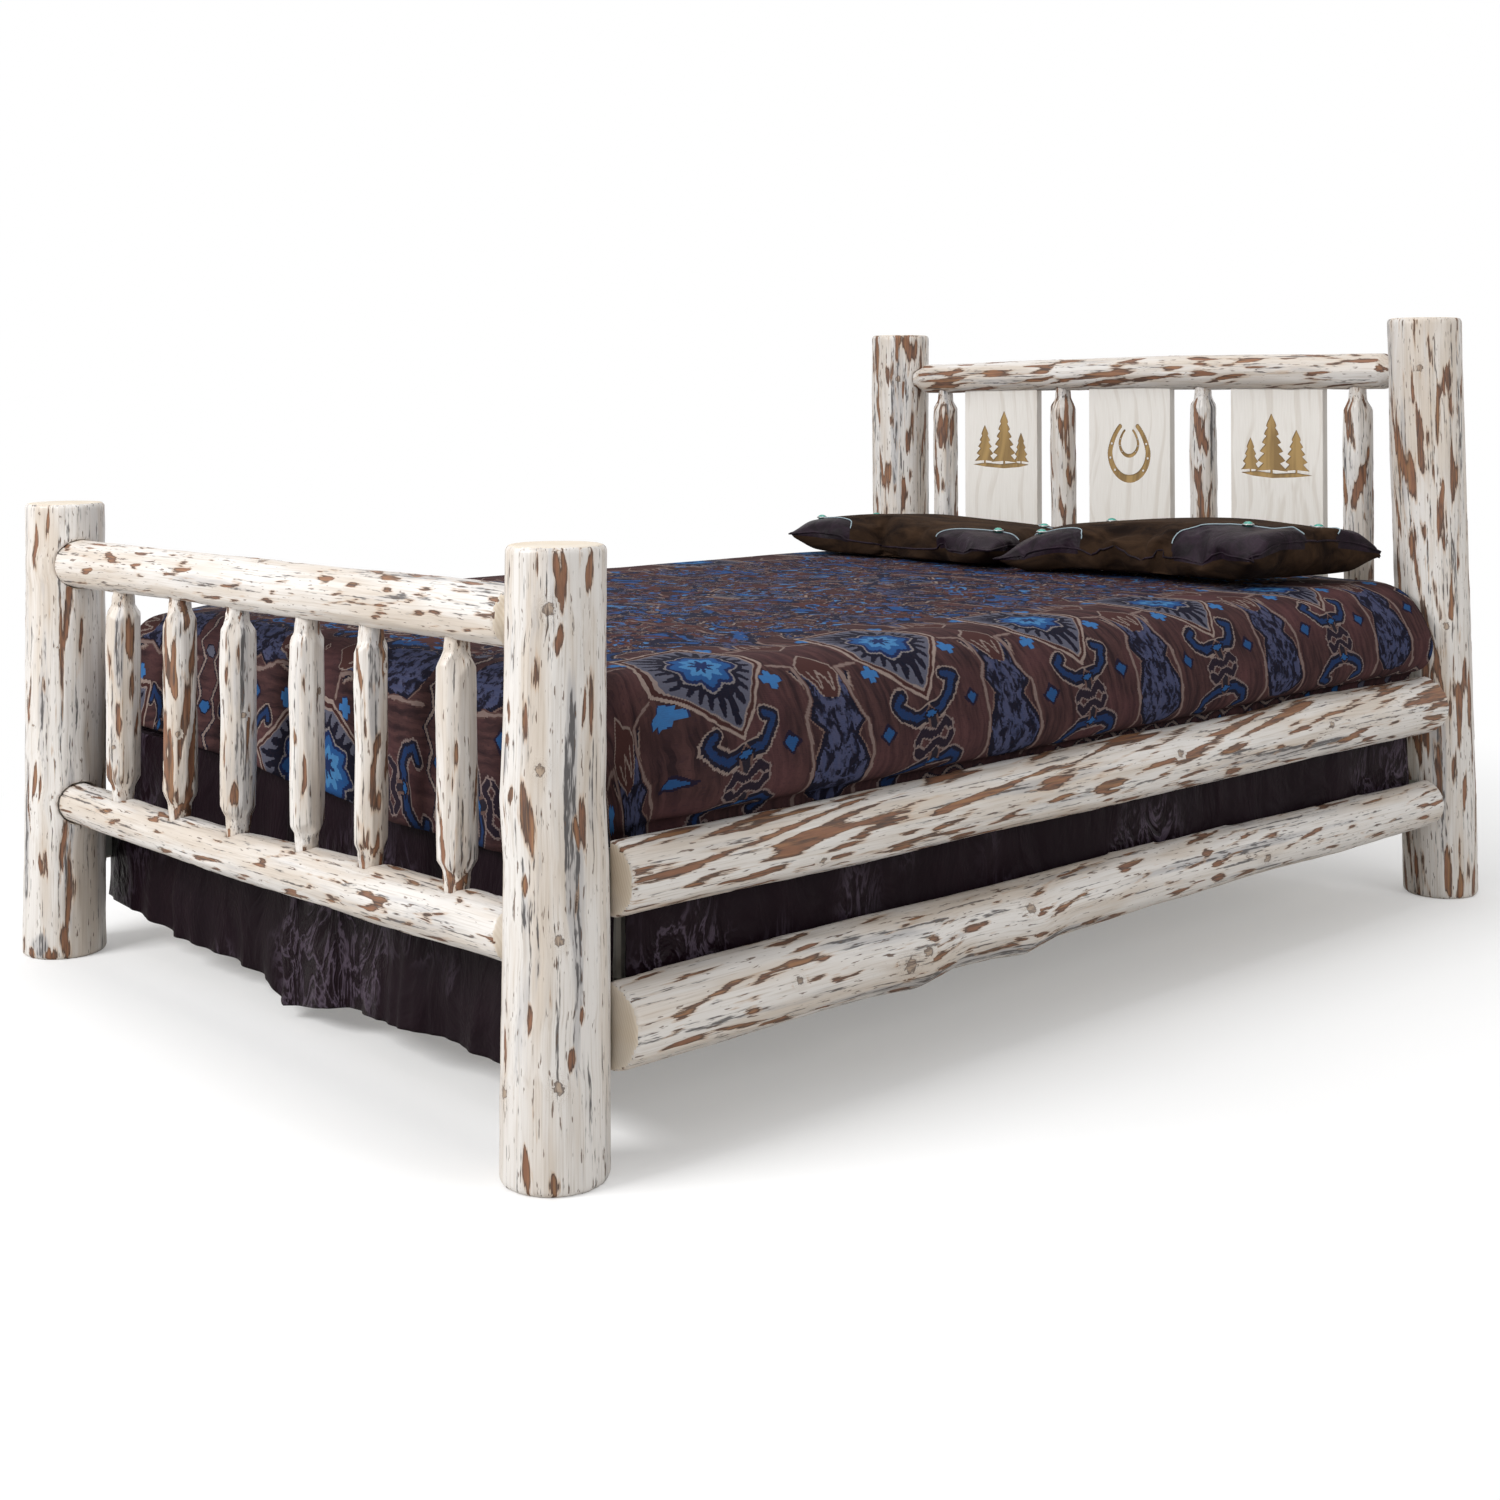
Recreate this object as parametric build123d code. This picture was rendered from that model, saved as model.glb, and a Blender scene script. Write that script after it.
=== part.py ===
"""Rustic queen-size log bed: peeled pine logs joined by round tenons, half-log side rails
on steel angles, slats under a box spring, a mattress with its bedspread, a dust skirt and
two pillows. Millimetres, +Z up, +Y to the head; left is -X and right is +X, as seen from
the foot. The origin is on the floor, midway between the four posts. Each piece is written
to parts/NODE.step."""

import os

from build123d import *

# ---- Driving dimensions ----

# Mattress set (queen size) and what it stands on
MATTRESS_W = 1524.0
MATTRESS_L = 2032.0
MATTRESS_H = 238.0
MATTRESS_CORNER_R = 60.0
MATTRESS_EDGE_R = 30.0
BOX_SPRING_H = 195.0
BOX_SPRING_EDGE_R = 12.0
SIDE_GAP = 27.5  # mattress side to the flat of a side rail
END_GAP = 39.0  # mattress end to the nearest face of a post
SOFT_GAP = 0.3  # between soft things that lift off each other

# Posts
FOOT_POST_R = 74.0
FOOT_POST_H = 838.0
HEAD_POST_R = 76.0
HEAD_POST_H = 1194.0
POST_EASE = 5.0  # bevel round the ends of a post

# Cross rails of the two boards
FOOT_TOP_RAIL_R = 44.0
FOOT_TOP_RAIL_Z = 730.0
FOOT_BOTTOM_RAIL_R = 40.0
FOOT_BOTTOM_RAIL_Z = 292.0
HEAD_TOP_RAIL_R = 39.5
HEAD_TOP_RAIL_Z = 1085.0
HEAD_BOTTOM_RAIL_R = 42.0
HEAD_BOTTOM_RAIL_Z = 500.0
RAIL_TENON_R = 25.0
RAIL_TENON_REACH = 12.0  # how far a rail's tenon goes past the post's centre
HOUSING_DEPTH = 22.0  # the left ends of the foot rails are let in whole, this deep
SHOULDER_CONE = 13.0  # length of the sawn cone at a shoulder that isn't let in
HEAD_SHOULDER_CONE = 24.0
HOUSING_CLEAR = 0.9

# Spindles
FOOT_SPINDLE_R = 29.5
FOOT_SPINDLES = 6
FOOT_SPINDLE_END_GAP = 164.0  # post face to the centre of the first spindle
HEAD_SPINDLE_R = 32.5
HEAD_SPINDLES = 4
HEAD_SPINDLE_END_GAP = 91.0
SPINDLE_TENON_R = 18.0
SPINDLE_TENON_L = 28.0
SPINDLE_CONE = 27.0  # whittled length at each end of a spindle
SPINDLE_SEAT_GAP = 0.6  # end of the cone to the skin of the rail

# Headboard panels
PANEL_W = 238.0
PANEL_T = 19.0
PANEL_TONGUE = 12.0  # how far a panel's ends go into the rails' grooves
PANEL_EASE = 1.5

# Side rails: half logs, flat side in
UPPER_RAIL_R = 57.0
UPPER_RAIL_Z = 393.0
LOWER_RAIL_R = 60.0
LOWER_RAIL_Z = 195.0
RAIL_FLAT_OUT = 22.0  # flat of the side rails outside the posts' centres
HALF_LOG_EASE = 4.0  # bevel round the cut ends

# Steel angles that hold the side rails
ANGLE_T = 5.0
ANGLE_H = 80.0
ANGLE_RAIL_LEG = 80.0
ANGLE_POST_LEG = 42.0
POST_FLAT_DEPTH = 7.0  # how deep the flat for an angle is cut into a post
POST_FLAT_MARGIN = 4.0  # flat beyond the angle's ends

# Ledgers, slats and centre beam
LEDGER_W = 38.0
LEDGER_H = 38.0
LEDGER_DROP = 4.0  # ledger top below the lower rail's centre height
LEDGER_END_GAP = 10.0  # end of a ledger to the steel angle
SLAT_W = 89.0
SLAT_T = 19.0
SLAT_COUNT = 5
SLAT_END_GAP = 3.0
SLAT_RUN_IN = 116.0  # mattress end to the centre of the first slat
BEAM_W = 38.0
BEAM_H = 89.0
BEAM_SHORT = 20.0  # beam end short of the mattress end
LEG_W = 64.0
LEG_COUNT = 3  # under the slats nearest the middle

# Screws
LAG_R = 4.0
LAG_HEAD_ACROSS = 13.0
LAG_HEAD_H = 5.5
POST_LAG_L = 60.0
RAIL_LAG_L = 38.0
LAG_SPREAD = 22.0  # a lag screw above or below, before or behind the middle of its leg
WOOD_SCREW_R = 2.5
WOOD_SCREW_HEAD_R = 4.6
WOOD_SCREW_HEAD_H = 3.0
LEDGER_SCREW_L = 70.0
SLAT_SCREW_L = 45.0
LEG_SCREW_L = 60.0

# Skirt
SKIRT_T = 3.0
SKIRT_FOLD = 20.0  # depth that the folds of the foot panel take up
SKIRT_GAP = 2.0  # skirt to the box spring
SKIRT_HEM_Z = 38.0
SKIRT_DECK_T = 2.0

# Bedspread
SPREAD_T = 4.0
SPREAD_SIDE_T = 10.0  # tucked side between mattress and rail
SPREAD_BULGE = 60.0  # how far the side puffs out over the rail
SPREAD_SHOULDER_R = 80.0
SPREAD_TUCK = 26.0  # below the top of the upper rail
SPREAD_FOOT_T = 8.0
SPREAD_HEM = [  # (share of the half width, drop below the top), along the foot from -X
    (-1, 148), (-0.78, 158), (-0.52, 202), (-0.13, 246), (0.4, 272), (1, 276),
]

# Pillows
PILLOW_W = 745.0
PILLOW_D = 430.0
PILLOW_H = 130.0
PILLOW_CORNER_R = 50.0
PILLOW_BACK = 50.0  # back of the pillows in front of the headboard's face
PILLOW_CROWN = [  # (share of the height, share of the depth)
    (0, 0.8), (0.18, 0.93), (0.45, 1.0), (0.75, 0.9), (0.93, 0.66), (1, 0.42),
]

# Fits
TENON_CLEAR = 0.25
GROOVE_CLEAR = 0.4
SCREW_CLEAR = 0.1
HOLE_EXTRA = 2.0  # blind holes are this much deeper than what goes in
CUTTER_RUN = 220.0  # how far a cutter runs on past what it cuts

# ---- How the logs grew ----
# Rows of (share of the length, share of the radius, shift, shift). The shifts are in mm:
# for a post X then Y, for a cross rail Y then Z, for a side rail none then Z.

FOOT_POST_RIGHT_GROWTH = [
    (0.0, 1.0, 0, 0), (0.14, 0.995, 0, 0), (0.32, 0.97, 1, 1), (0.5, 0.95, 1, 1),
    (0.6, 0.965, -3, -2), (0.68, 0.95, -1, 0), (0.82, 0.92, 0, 1), (1.0, 0.905, 1, 1),
]
FOOT_POST_LEFT_GROWTH = [
    (0.0, 1.0, 0, 0), (0.2, 0.985, 1, 0), (0.45, 0.97, 2, 1), (0.7, 0.975, 3, 1),
    (0.8, 0.96, 1, 0), (1.0, 0.96, 0, 0),
]
HEAD_POST_RIGHT_GROWTH = [
    (0.0, 0.99, 10, 11), (0.25, 0.985, 6, 6), (0.5, 0.99, 0, 1), (0.75, 0.995, -5, -6),
    (1.0, 1.0, -9, -10),
]
HEAD_POST_LEFT_GROWTH = [
    (0.0, 1.0, 0, 0), (0.3, 0.99, -2, 1), (0.6, 0.985, 1, 0), (1.0, 1.0, 0, 0),
]
FOOT_TOP_RAIL_GROWTH = [
    (0.0, 1.0, 0, -4), (0.08, 1.0, 0, -3), (0.3, 0.98, 2, 1), (0.55, 1.0, 1, 0),
    (0.8, 0.99, 0, 4), (0.93, 0.98, 0, 5), (1.0, 0.98, 0, 5),
]
FOOT_BOTTOM_RAIL_GROWTH = [
    (0.0, 0.95, 0, -7), (0.08, 0.95, 0, -7), (0.25, 0.9, 0, -8), (0.42, 0.95, 1, -6),
    (0.6, 1.05, 1, 2), (0.78, 1.08, 0, 8), (0.93, 1.03, 0, 13), (1.0, 1.02, 0, 14),
]
HEAD_TOP_RAIL_GROWTH = [
    (0.0, 0.95, 0, -6), (0.06, 0.97, 0, -6), (0.3, 0.97, 1, 0), (0.55, 1.0, 2, 3),
    (0.8, 1.03, 1, 2), (0.94, 1.02, 0, 0), (1.0, 1.0, 0, 0),
]
HEAD_BOTTOM_RAIL_GROWTH = [
    (0.0, 1.0, 0, 0), (0.06, 1.0, 0, 0), (0.4, 0.96, 0, -3), (0.7, 0.98, 0, -2),
    (0.94, 0.95, 0, 0), (1.0, 0.95, 0, 0),
]
UPPER_RAIL_GROWTH = [
    (0.0, 0.92, 0, -6), (0.22, 0.93, 0, -5), (0.36, 0.96, 0, -1), (0.52, 1.02, 0, 2),
    (0.7, 0.99, 0, 4), (0.8, 1.04, 0, 9), (1.0, 1.04, 0, 6),
]
LOWER_RAIL_GROWTH = [
    (0.0, 1.03, 0, -5), (0.14, 1.01, 0, -3), (0.22, 1.02, 0, -2), (0.27, 1.07, 0, -5),
    (0.31, 0.95, 0, 1), (0.355, 0.97, 0, 0), (0.39, 1.035, 0, -4), (0.43, 0.93, 0, 4),
    (0.55, 0.9, 0, 8), (0.7, 0.83, 0, 6), (0.85, 0.82, 0, 4), (1.0, 0.79, 0, 4),
]
FOOT_SPINDLE_THICK = [1.03, 0.99, 1.01, 0.95, 0.88, 1.01]
FOOT_SPINDLE_DRIFT = [9, 13, 5, 16, -8, 7]  # from even spacing, along X
HEAD_SPINDLE_THICK = [0.99, 0.99, 0.97, 1.01]
HEAD_SPINDLE_DRIFT = [-5, -17, -6, -5]
SPINDLE_GROWTH = [
    (0.0, 0.97, 0, 0), (0.25, 1.0, 1, 0), (0.5, 0.97, 0, 1), (0.75, 1.0, -1, 0), (1.0, 0.96, 0, 0),
]

# ---- Worked out from the above ----

RAIL_FLAT_X = MATTRESS_W / 2 + SIDE_GAP
POST_X = RAIL_FLAT_X - RAIL_FLAT_OUT
FOOT_Y = -(MATTRESS_L / 2 + END_GAP + FOOT_POST_R)
HEAD_Y = MATTRESS_L / 2 + END_GAP + HEAD_POST_R
FOOT_FLAT_Y = FOOT_Y + FOOT_POST_R - POST_FLAT_DEPTH
HEAD_FLAT_Y = HEAD_Y - HEAD_POST_R + POST_FLAT_DEPTH
RAIL_FOOT_Y = FOOT_FLAT_Y + ANGLE_T
RAIL_HEAD_Y = HEAD_FLAT_Y - ANGLE_T
LEDGER_TOP_Z = LOWER_RAIL_Z - LEDGER_DROP
SLAT_TOP_Z = LEDGER_TOP_Z + SLAT_T
BOX_TOP_Z = SLAT_TOP_Z + BOX_SPRING_H
DECK_TOP_Z = BOX_TOP_Z + SKIRT_DECK_T
MATTRESS_Z = DECK_TOP_Z + SOFT_GAP
MATTRESS_TOP_Z = MATTRESS_Z + MATTRESS_H
SPREAD_TOP_Z = MATTRESS_TOP_Z + SOFT_GAP + SPREAD_T
UPPER_RAIL_TOP_Z = max(
    UPPER_RAIL_Z + UPPER_RAIL_R * size + rise for share, size, none, rise in UPPER_RAIL_GROWTH
)

os.makedirs("parts", exist_ok=True)


def write(name, shape):
    export_step(shape, "parts/" + name + ".step")


def grown(rows, share, column):
    """A log's value at a share of its length, straight between its rows."""
    for low, high in zip(rows, rows[1:]):
        if share <= high[0]:
            part = (share - low[0]) / (high[0] - low[0])
            return low[column] + part * (high[column] - low[column])
    return rows[-1][column]


def log(length, radius, rows):
    """A peeled log along +Z from the origin, skinned straight from ring to ring."""
    rings = [
        Pos(dx, dy, share * length) * Circle(radius * size) for share, size, dx, dy in rows
    ]
    return loft(rings, ruled=True)


def bar(length, radius, z=0.0):
    """A round bar along +Z from the height z."""
    return Pos(0, 0, z) * Cylinder(radius, length, align=(Align.CENTER, Align.CENTER, Align.MIN))


def cone(bottom_r, top_r, length, z=0.0):
    return Pos(0, 0, z) * Cone(
        bottom_r, top_r, length, align=(Align.CENTER, Align.CENTER, Align.MIN)
    )


def block(x0, x1, y0, y1, z0, z1):
    return Pos(x0, y0, z0) * Box(
        x1 - x0, y1 - y0, z1 - z0, align=(Align.MIN, Align.MIN, Align.MIN)
    )


def facing(x, y, z, direction, side):
    """Where a piece drawn along +Z lies when it starts at x, y, z and points elsewhere."""
    return Plane(origin=(x, y, z), x_dir=side, z_dir=direction).location


# ---- Cross rails ----
# A rail is a dict of its radius r, height z, growth rows, y, how far from each post's centre
# the whole log stops (left, right) and the length of the cone sawn beyond that, if any.


def rail_ends(rail):
    """X at which the whole log starts and stops."""
    return -POST_X + rail["left"], POST_X - rail["right"]


def rail_share(rail, x):
    low, high = rail_ends(rail)
    return (x - low) / (high - low)


def rail_radius(rail, x):
    return rail["r"] * grown(rail["rows"], rail_share(rail, x), 1)


def rail_centre(rail, x):
    """Y and Z of a cross rail's heart at x."""
    share = rail_share(rail, x)
    return rail["y"] + grown(rail["rows"], share, 2), rail["z"] + grown(rail["rows"], share, 3)


def tenon(x, y, z, towards, whole_r, cone_l, reach):
    """The end of a rail: a cone, if it has one, and a round tenon, pointing to a post."""
    piece = bar(reach - cone_l, RAIL_TENON_R, cone_l)
    if cone_l > 0:
        piece = piece + cone(whole_r, RAIL_TENON_R, cone_l)
    return facing(x, y, z, (towards, 0, 0), (0, 1, 0)) * piece


def cross_rail(rail):
    low, high = rail_ends(rail)
    body = facing(low, rail["y"], rail["z"], (1, 0, 0), (0, 1, 0)) * log(
        high - low, rail["r"], rail["rows"]
    )
    for x, towards, cone_l in ((low, -1, rail["left_cone"]), (high, 1, rail["right_cone"])):
        y, z = rail_centre(rail, x)
        reach = POST_X - abs(x) + RAIL_TENON_REACH
        body = body + tenon(x, y, z, towards, rail_radius(rail, x), cone_l, reach)
    return body


def post_mortise(rail, side):
    """What a rail takes out of the post on one side: the tenon's hole and any housing."""
    x = rail_ends(rail)[0 if side < 0 else 1]
    y, z = rail_centre(rail, x)
    depth = RAIL_TENON_REACH + HOLE_EXTRA
    start = side * POST_X + side * depth
    hole = bar(CUTTER_RUN, RAIL_TENON_R + TENON_CLEAR)
    inset = rail["left"] if side < 0 else rail["right"]
    if rail["left_cone" if side < 0 else "right_cone"] == 0:
        housing = rail_radius(rail, x) + HOUSING_CLEAR
        hole = hole + bar(CUTTER_RUN, housing, depth + inset - TENON_CLEAR)
    return facing(start, y, z, (-side, 0, 0), (0, 1, 0)) * hole


def lean_inward(rows, share, side):
    """How far a post leans towards the middle of the bed at a share of its height."""
    return max(0, -side * grown(rows, share, 2))


def board_rail(radius, z, rows, end, cone_l, housed):
    """A cross rail's values; a housed one is let into its left post."""
    share = z / end["h"]
    clear = end["r"] + SPINDLE_SEAT_GAP + cone_l
    left = clear + lean_inward(end["left_rows"], share, -1)
    return {
        "r": radius, "z": z, "rows": rows, "y": end["y"],
        "left": end["r"] - HOUSING_DEPTH if housed else left,
        "right": clear + lean_inward(end["right_rows"], share, 1),
        "left_cone": 0 if housed else cone_l,
        "right_cone": cone_l,
    }


FOOT = {
    "y": FOOT_Y, "r": FOOT_POST_R, "h": FOOT_POST_H,
    "left_rows": FOOT_POST_LEFT_GROWTH, "right_rows": FOOT_POST_RIGHT_GROWTH,
}
HEAD = {
    "y": HEAD_Y, "r": HEAD_POST_R, "h": HEAD_POST_H,
    "left_rows": HEAD_POST_LEFT_GROWTH, "right_rows": HEAD_POST_RIGHT_GROWTH,
}
FOOT_TOP = board_rail(
    FOOT_TOP_RAIL_R, FOOT_TOP_RAIL_Z, FOOT_TOP_RAIL_GROWTH, FOOT, SHOULDER_CONE, True
)
FOOT_BOTTOM = board_rail(
    FOOT_BOTTOM_RAIL_R, FOOT_BOTTOM_RAIL_Z, FOOT_BOTTOM_RAIL_GROWTH, FOOT, SHOULDER_CONE, True
)
HEAD_TOP = board_rail(
    HEAD_TOP_RAIL_R, HEAD_TOP_RAIL_Z, HEAD_TOP_RAIL_GROWTH, HEAD, HEAD_SHOULDER_CONE, False
)
HEAD_BOTTOM = board_rail(
    HEAD_BOTTOM_RAIL_R, HEAD_BOTTOM_RAIL_Z, HEAD_BOTTOM_RAIL_GROWTH, HEAD, HEAD_SHOULDER_CONE,
    False,
)


# ---- Spindles and panels between two cross rails ----


def spread_out(count, end_gap, post_r, drift):
    """X of each spindle: even between the outermost two, then as the maker set them."""
    outer = POST_X - post_r - end_gap
    return [-outer + 2 * outer * i / (count - 1) + drift[i] for i in range(count)]


def spindle_span(lower, upper, x):
    """Heights of the two rail skins that a spindle at x meets."""
    low = rail_centre(lower, x)[1] + rail_radius(lower, x)
    high = rail_centre(upper, x)[1] - rail_radius(upper, x)
    return low, high


def spindle(lower, upper, x, radius):
    low, high = spindle_span(lower, upper, x)
    y = (rail_centre(lower, x)[0] + rail_centre(upper, x)[0]) / 2
    bottom = low + SPINDLE_SEAT_GAP
    top = high - SPINDLE_SEAT_GAP
    body_l = top - bottom - 2 * SPINDLE_CONE
    low_r, high_r = radius * SPINDLE_GROWTH[0][1], radius * SPINDLE_GROWTH[-1][1]
    body = Pos(0, 0, SPINDLE_CONE) * log(body_l, radius, SPINDLE_GROWTH)
    body = body + cone(SPINDLE_TENON_R, low_r, SPINDLE_CONE)
    body = body + cone(high_r, SPINDLE_TENON_R, SPINDLE_CONE, SPINDLE_CONE + body_l)
    peg_l = SPINDLE_TENON_L + SPINDLE_SEAT_GAP
    body = body + bar(peg_l, SPINDLE_TENON_R, -peg_l)
    body = body + bar(peg_l, SPINDLE_TENON_R, top - bottom)
    return Pos(x, y, bottom) * body


def spindle_mortise(rail, lower, upper, x, up):
    """The blind hole for a spindle's tenon; up is 1 in the upper rail and -1 in the lower."""
    y = (rail_centre(lower, x)[0] + rail_centre(upper, x)[0]) / 2
    skin = spindle_span(lower, upper, x)[1 if up > 0 else 0]
    length = 2 * rail["r"]
    start = skin + up * (SPINDLE_TENON_L + HOLE_EXTRA)
    hole = bar(length, SPINDLE_TENON_R + TENON_CLEAR)
    return facing(x, y, start, (0, 0, -up), (1, 0, 0)) * hole


def panel_places():
    xs = HEAD_SPINDLE_X
    return [(a + b) / 2 for a, b in zip(xs, xs[1:])]


def panel_y(x):
    return (rail_centre(HEAD_BOTTOM, x)[0] + rail_centre(HEAD_TOP, x)[0]) / 2


def panel(x):
    low, high = spindle_span(HEAD_BOTTOM, HEAD_TOP, x)
    y = panel_y(x)
    board = block(
        x - PANEL_W / 2, x + PANEL_W / 2, y - PANEL_T / 2, y + PANEL_T / 2,
        low - PANEL_TONGUE, high + PANEL_TONGUE,
    )
    return chamfer(board.edges().filter_by(Axis.Z), PANEL_EASE)


def panel_groove(x, up):
    """The stopped groove for a panel's end."""
    low, high = spindle_span(HEAD_BOTTOM, HEAD_TOP, x)
    y = panel_y(x)
    deep = PANEL_TONGUE + HOLE_EXTRA
    if up > 0:
        z0, z1 = high - 2 * PANEL_TONGUE, high + deep
    else:
        z0, z1 = low - deep, low + 2 * PANEL_TONGUE
    half_w = PANEL_W / 2 + GROOVE_CLEAR
    half_t = PANEL_T / 2 + GROOVE_CLEAR
    return block(x - half_w, x + half_w, y - half_t, y + half_t, z0, z1)


FOOT_SPINDLE_X = spread_out(
    FOOT_SPINDLES, FOOT_SPINDLE_END_GAP, FOOT_POST_R, FOOT_SPINDLE_DRIFT
)
HEAD_SPINDLE_X = spread_out(
    HEAD_SPINDLES, HEAD_SPINDLE_END_GAP, HEAD_POST_R, HEAD_SPINDLE_DRIFT
)


def board(prefix, lower, upper, spindle_xs, radius, thick, panels):
    """Writes one board's two rails, its spindles and, on the headboard, its panels."""
    low_rail, top_rail = cross_rail(lower), cross_rail(upper)
    for i, x in enumerate(spindle_xs):
        low_rail = low_rail - spindle_mortise(lower, lower, upper, x, -1)
        top_rail = top_rail - spindle_mortise(upper, lower, upper, x, 1)
        write(f"{prefix}_spindle_{i + 1}", spindle(lower, upper, x, radius * thick[i]))
    for name, x in panels:
        low_rail = low_rail - panel_groove(x, -1)
        top_rail = top_rail - panel_groove(x, 1)
        write(f"{prefix}_panel_{name}", panel(x))
    write(prefix + "_bottom_rail", low_rail)
    write(prefix + "_top_rail", top_rail)


board(
    "footboard", FOOT_BOTTOM, FOOT_TOP, FOOT_SPINDLE_X, FOOT_SPINDLE_R, FOOT_SPINDLE_THICK, []
)
board(
    "headboard", HEAD_BOTTOM, HEAD_TOP, HEAD_SPINDLE_X, HEAD_SPINDLE_R, HEAD_SPINDLE_THICK,
    list(zip(("left", "centre", "right"), panel_places())),
)


# ---- Side rails ----
# The left rails are the same logs turned end for end, as a maker would lay them.


def turned(rows):
    return [(1 - share, size, dx, dz) for share, size, dx, dz in reversed(rows)]


SIDE_RAILS = {
    "upper_right": (1, UPPER_RAIL_R, UPPER_RAIL_Z, UPPER_RAIL_GROWTH),
    "upper_left": (-1, UPPER_RAIL_R, UPPER_RAIL_Z, turned(UPPER_RAIL_GROWTH)),
    "lower_right": (1, LOWER_RAIL_R, LOWER_RAIL_Z, LOWER_RAIL_GROWTH),
    "lower_left": (-1, LOWER_RAIL_R, LOWER_RAIL_Z, turned(LOWER_RAIL_GROWTH)),
}


def side_end(rail, end):
    """Y of a side rail's end, its inward direction, Y of the post's flat, the rail's heart Z."""
    rows = rail[3]
    if end == "foot":
        return RAIL_FOOT_Y, 1, FOOT_FLAT_Y, rail[2] + rows[0][3]
    return RAIL_HEAD_Y, -1, HEAD_FLAT_Y, rail[2] + rows[-1][3]


def half_log(rail):
    side, radius, z, rows = rail
    length = RAIL_HEAD_Y - RAIL_FOOT_Y
    whole = facing(side * RAIL_FLAT_X, RAIL_FOOT_Y, z, (0, 1, 0), (side, 0, 0)) * log(
        length, radius, [(share, size, 0, -side * dz) for share, size, dx, dz in rows]
    )
    far = side * (RAIL_FLAT_X + 2 * radius)
    near, far = sorted((side * RAIL_FLAT_X, far))
    keep = block(
        near, far, RAIL_FOOT_Y - radius, RAIL_HEAD_Y + radius, z - 2 * radius, z + 2 * radius
    )
    half = whole & keep
    ends = half.faces().sort_by(Axis.Y)
    rims = ends[0].edges() + ends[-1].edges()
    return chamfer(rims.filter_by(GeomType.LINE, reverse=True), HALF_LOG_EASE)


# ---- Steel angles and their lag screws ----


def lag_screw(length):
    """Head against the plane z = 0, shank along +Z."""
    head = Pos(0, 0, -LAG_HEAD_H) * extrude(
        RegularPolygon(LAG_HEAD_ACROSS / 2, 6, major_radius=False), LAG_HEAD_H
    )
    shank = bar(length - 2 * LAG_R, LAG_R)
    return head + shank + cone(LAG_R, LAG_R / 4, 2 * LAG_R, length - 2 * LAG_R)


def lag_hole(length):
    return bar(length + HOLE_EXTRA + ANGLE_T, LAG_R + SCREW_CLEAR, -ANGLE_T)


def post_lags(rail, end):
    """Places of the screws through an angle into the post, heads on the angle."""
    side = rail[0]
    rail_y, inward, flat_y, z = side_end(rail, end)
    x = side * (RAIL_FLAT_X - ANGLE_T - (ANGLE_POST_LEG - ANGLE_T) / 2)
    return [
        facing(x, rail_y, z + dz, (0, -inward, 0), (1, 0, 0)) for dz in (-LAG_SPREAD, LAG_SPREAD)
    ]


def rail_lags(rail, end):
    """Places of the screws through an angle into the flat of the rail."""
    side = rail[0]
    rail_y, inward, flat_y, z = side_end(rail, end)
    middle = flat_y + inward * (ANGLE_T + ANGLE_RAIL_LEG) / 2
    x = side * (RAIL_FLAT_X - ANGLE_T)
    return [
        facing(x, middle + dy, z, (side, 0, 0), (0, 1, 0)) for dy in (-LAG_SPREAD, LAG_SPREAD)
    ]


def angle(rail, end):
    """An angle of flat steel: one leg on the post's flat, one on the rail's."""
    side = rail[0]
    rail_y, inward, flat_y, z = side_end(rail, end)
    x_out, x_in = side * RAIL_FLAT_X, side * (RAIL_FLAT_X - ANGLE_POST_LEG)
    y_tip = flat_y + inward * ANGLE_RAIL_LEG
    low, high = z - ANGLE_H / 2, z + ANGLE_H / 2
    post_leg = block(*sorted((x_in, x_out)), *sorted((flat_y, rail_y)), low, high)
    rail_leg = block(
        *sorted((side * (RAIL_FLAT_X - ANGLE_T), x_out)), *sorted((flat_y, y_tip)), low, high
    )
    piece = post_leg + rail_leg
    for place in post_lags(rail, end):
        piece = piece - place * lag_hole(POST_LAG_L)
    for place in rail_lags(rail, end):
        piece = piece - place * lag_hole(RAIL_LAG_L)
    return piece


def post_flat(rail, end):
    """The flat cut into a post for an angle."""
    side = rail[0]
    rail_y, inward, flat_y, z = side_end(rail, end)
    x = side * POST_X
    half_h = ANGLE_H / 2 + POST_FLAT_MARGIN
    y = flat_y + inward * FOOT_POST_R
    return block(
        x - FOOT_POST_R, x + FOOT_POST_R, *sorted((flat_y, y)), z - half_h, z + half_h
    )


# ---- Posts ----


def post(side, end, radius, height, rows, cross_rails):
    y = FOOT_Y if end == "foot" else HEAD_Y
    shape = log(height, radius, rows)
    ends = shape.faces().sort_by(Axis.Z)
    rims = ends[0].edges() + ends[-1].edges()
    shape = Pos(side * POST_X, y, 0) * chamfer(rims, POST_EASE)
    for rail in cross_rails:
        shape = shape - post_mortise(rail, side)
    for rail in SIDE_RAILS.values():
        if rail[0] != side:
            continue
        shape = shape - post_flat(rail, end)
        for place in post_lags(rail, end):
            shape = shape - place * lag_hole(POST_LAG_L)
    return shape


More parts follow.
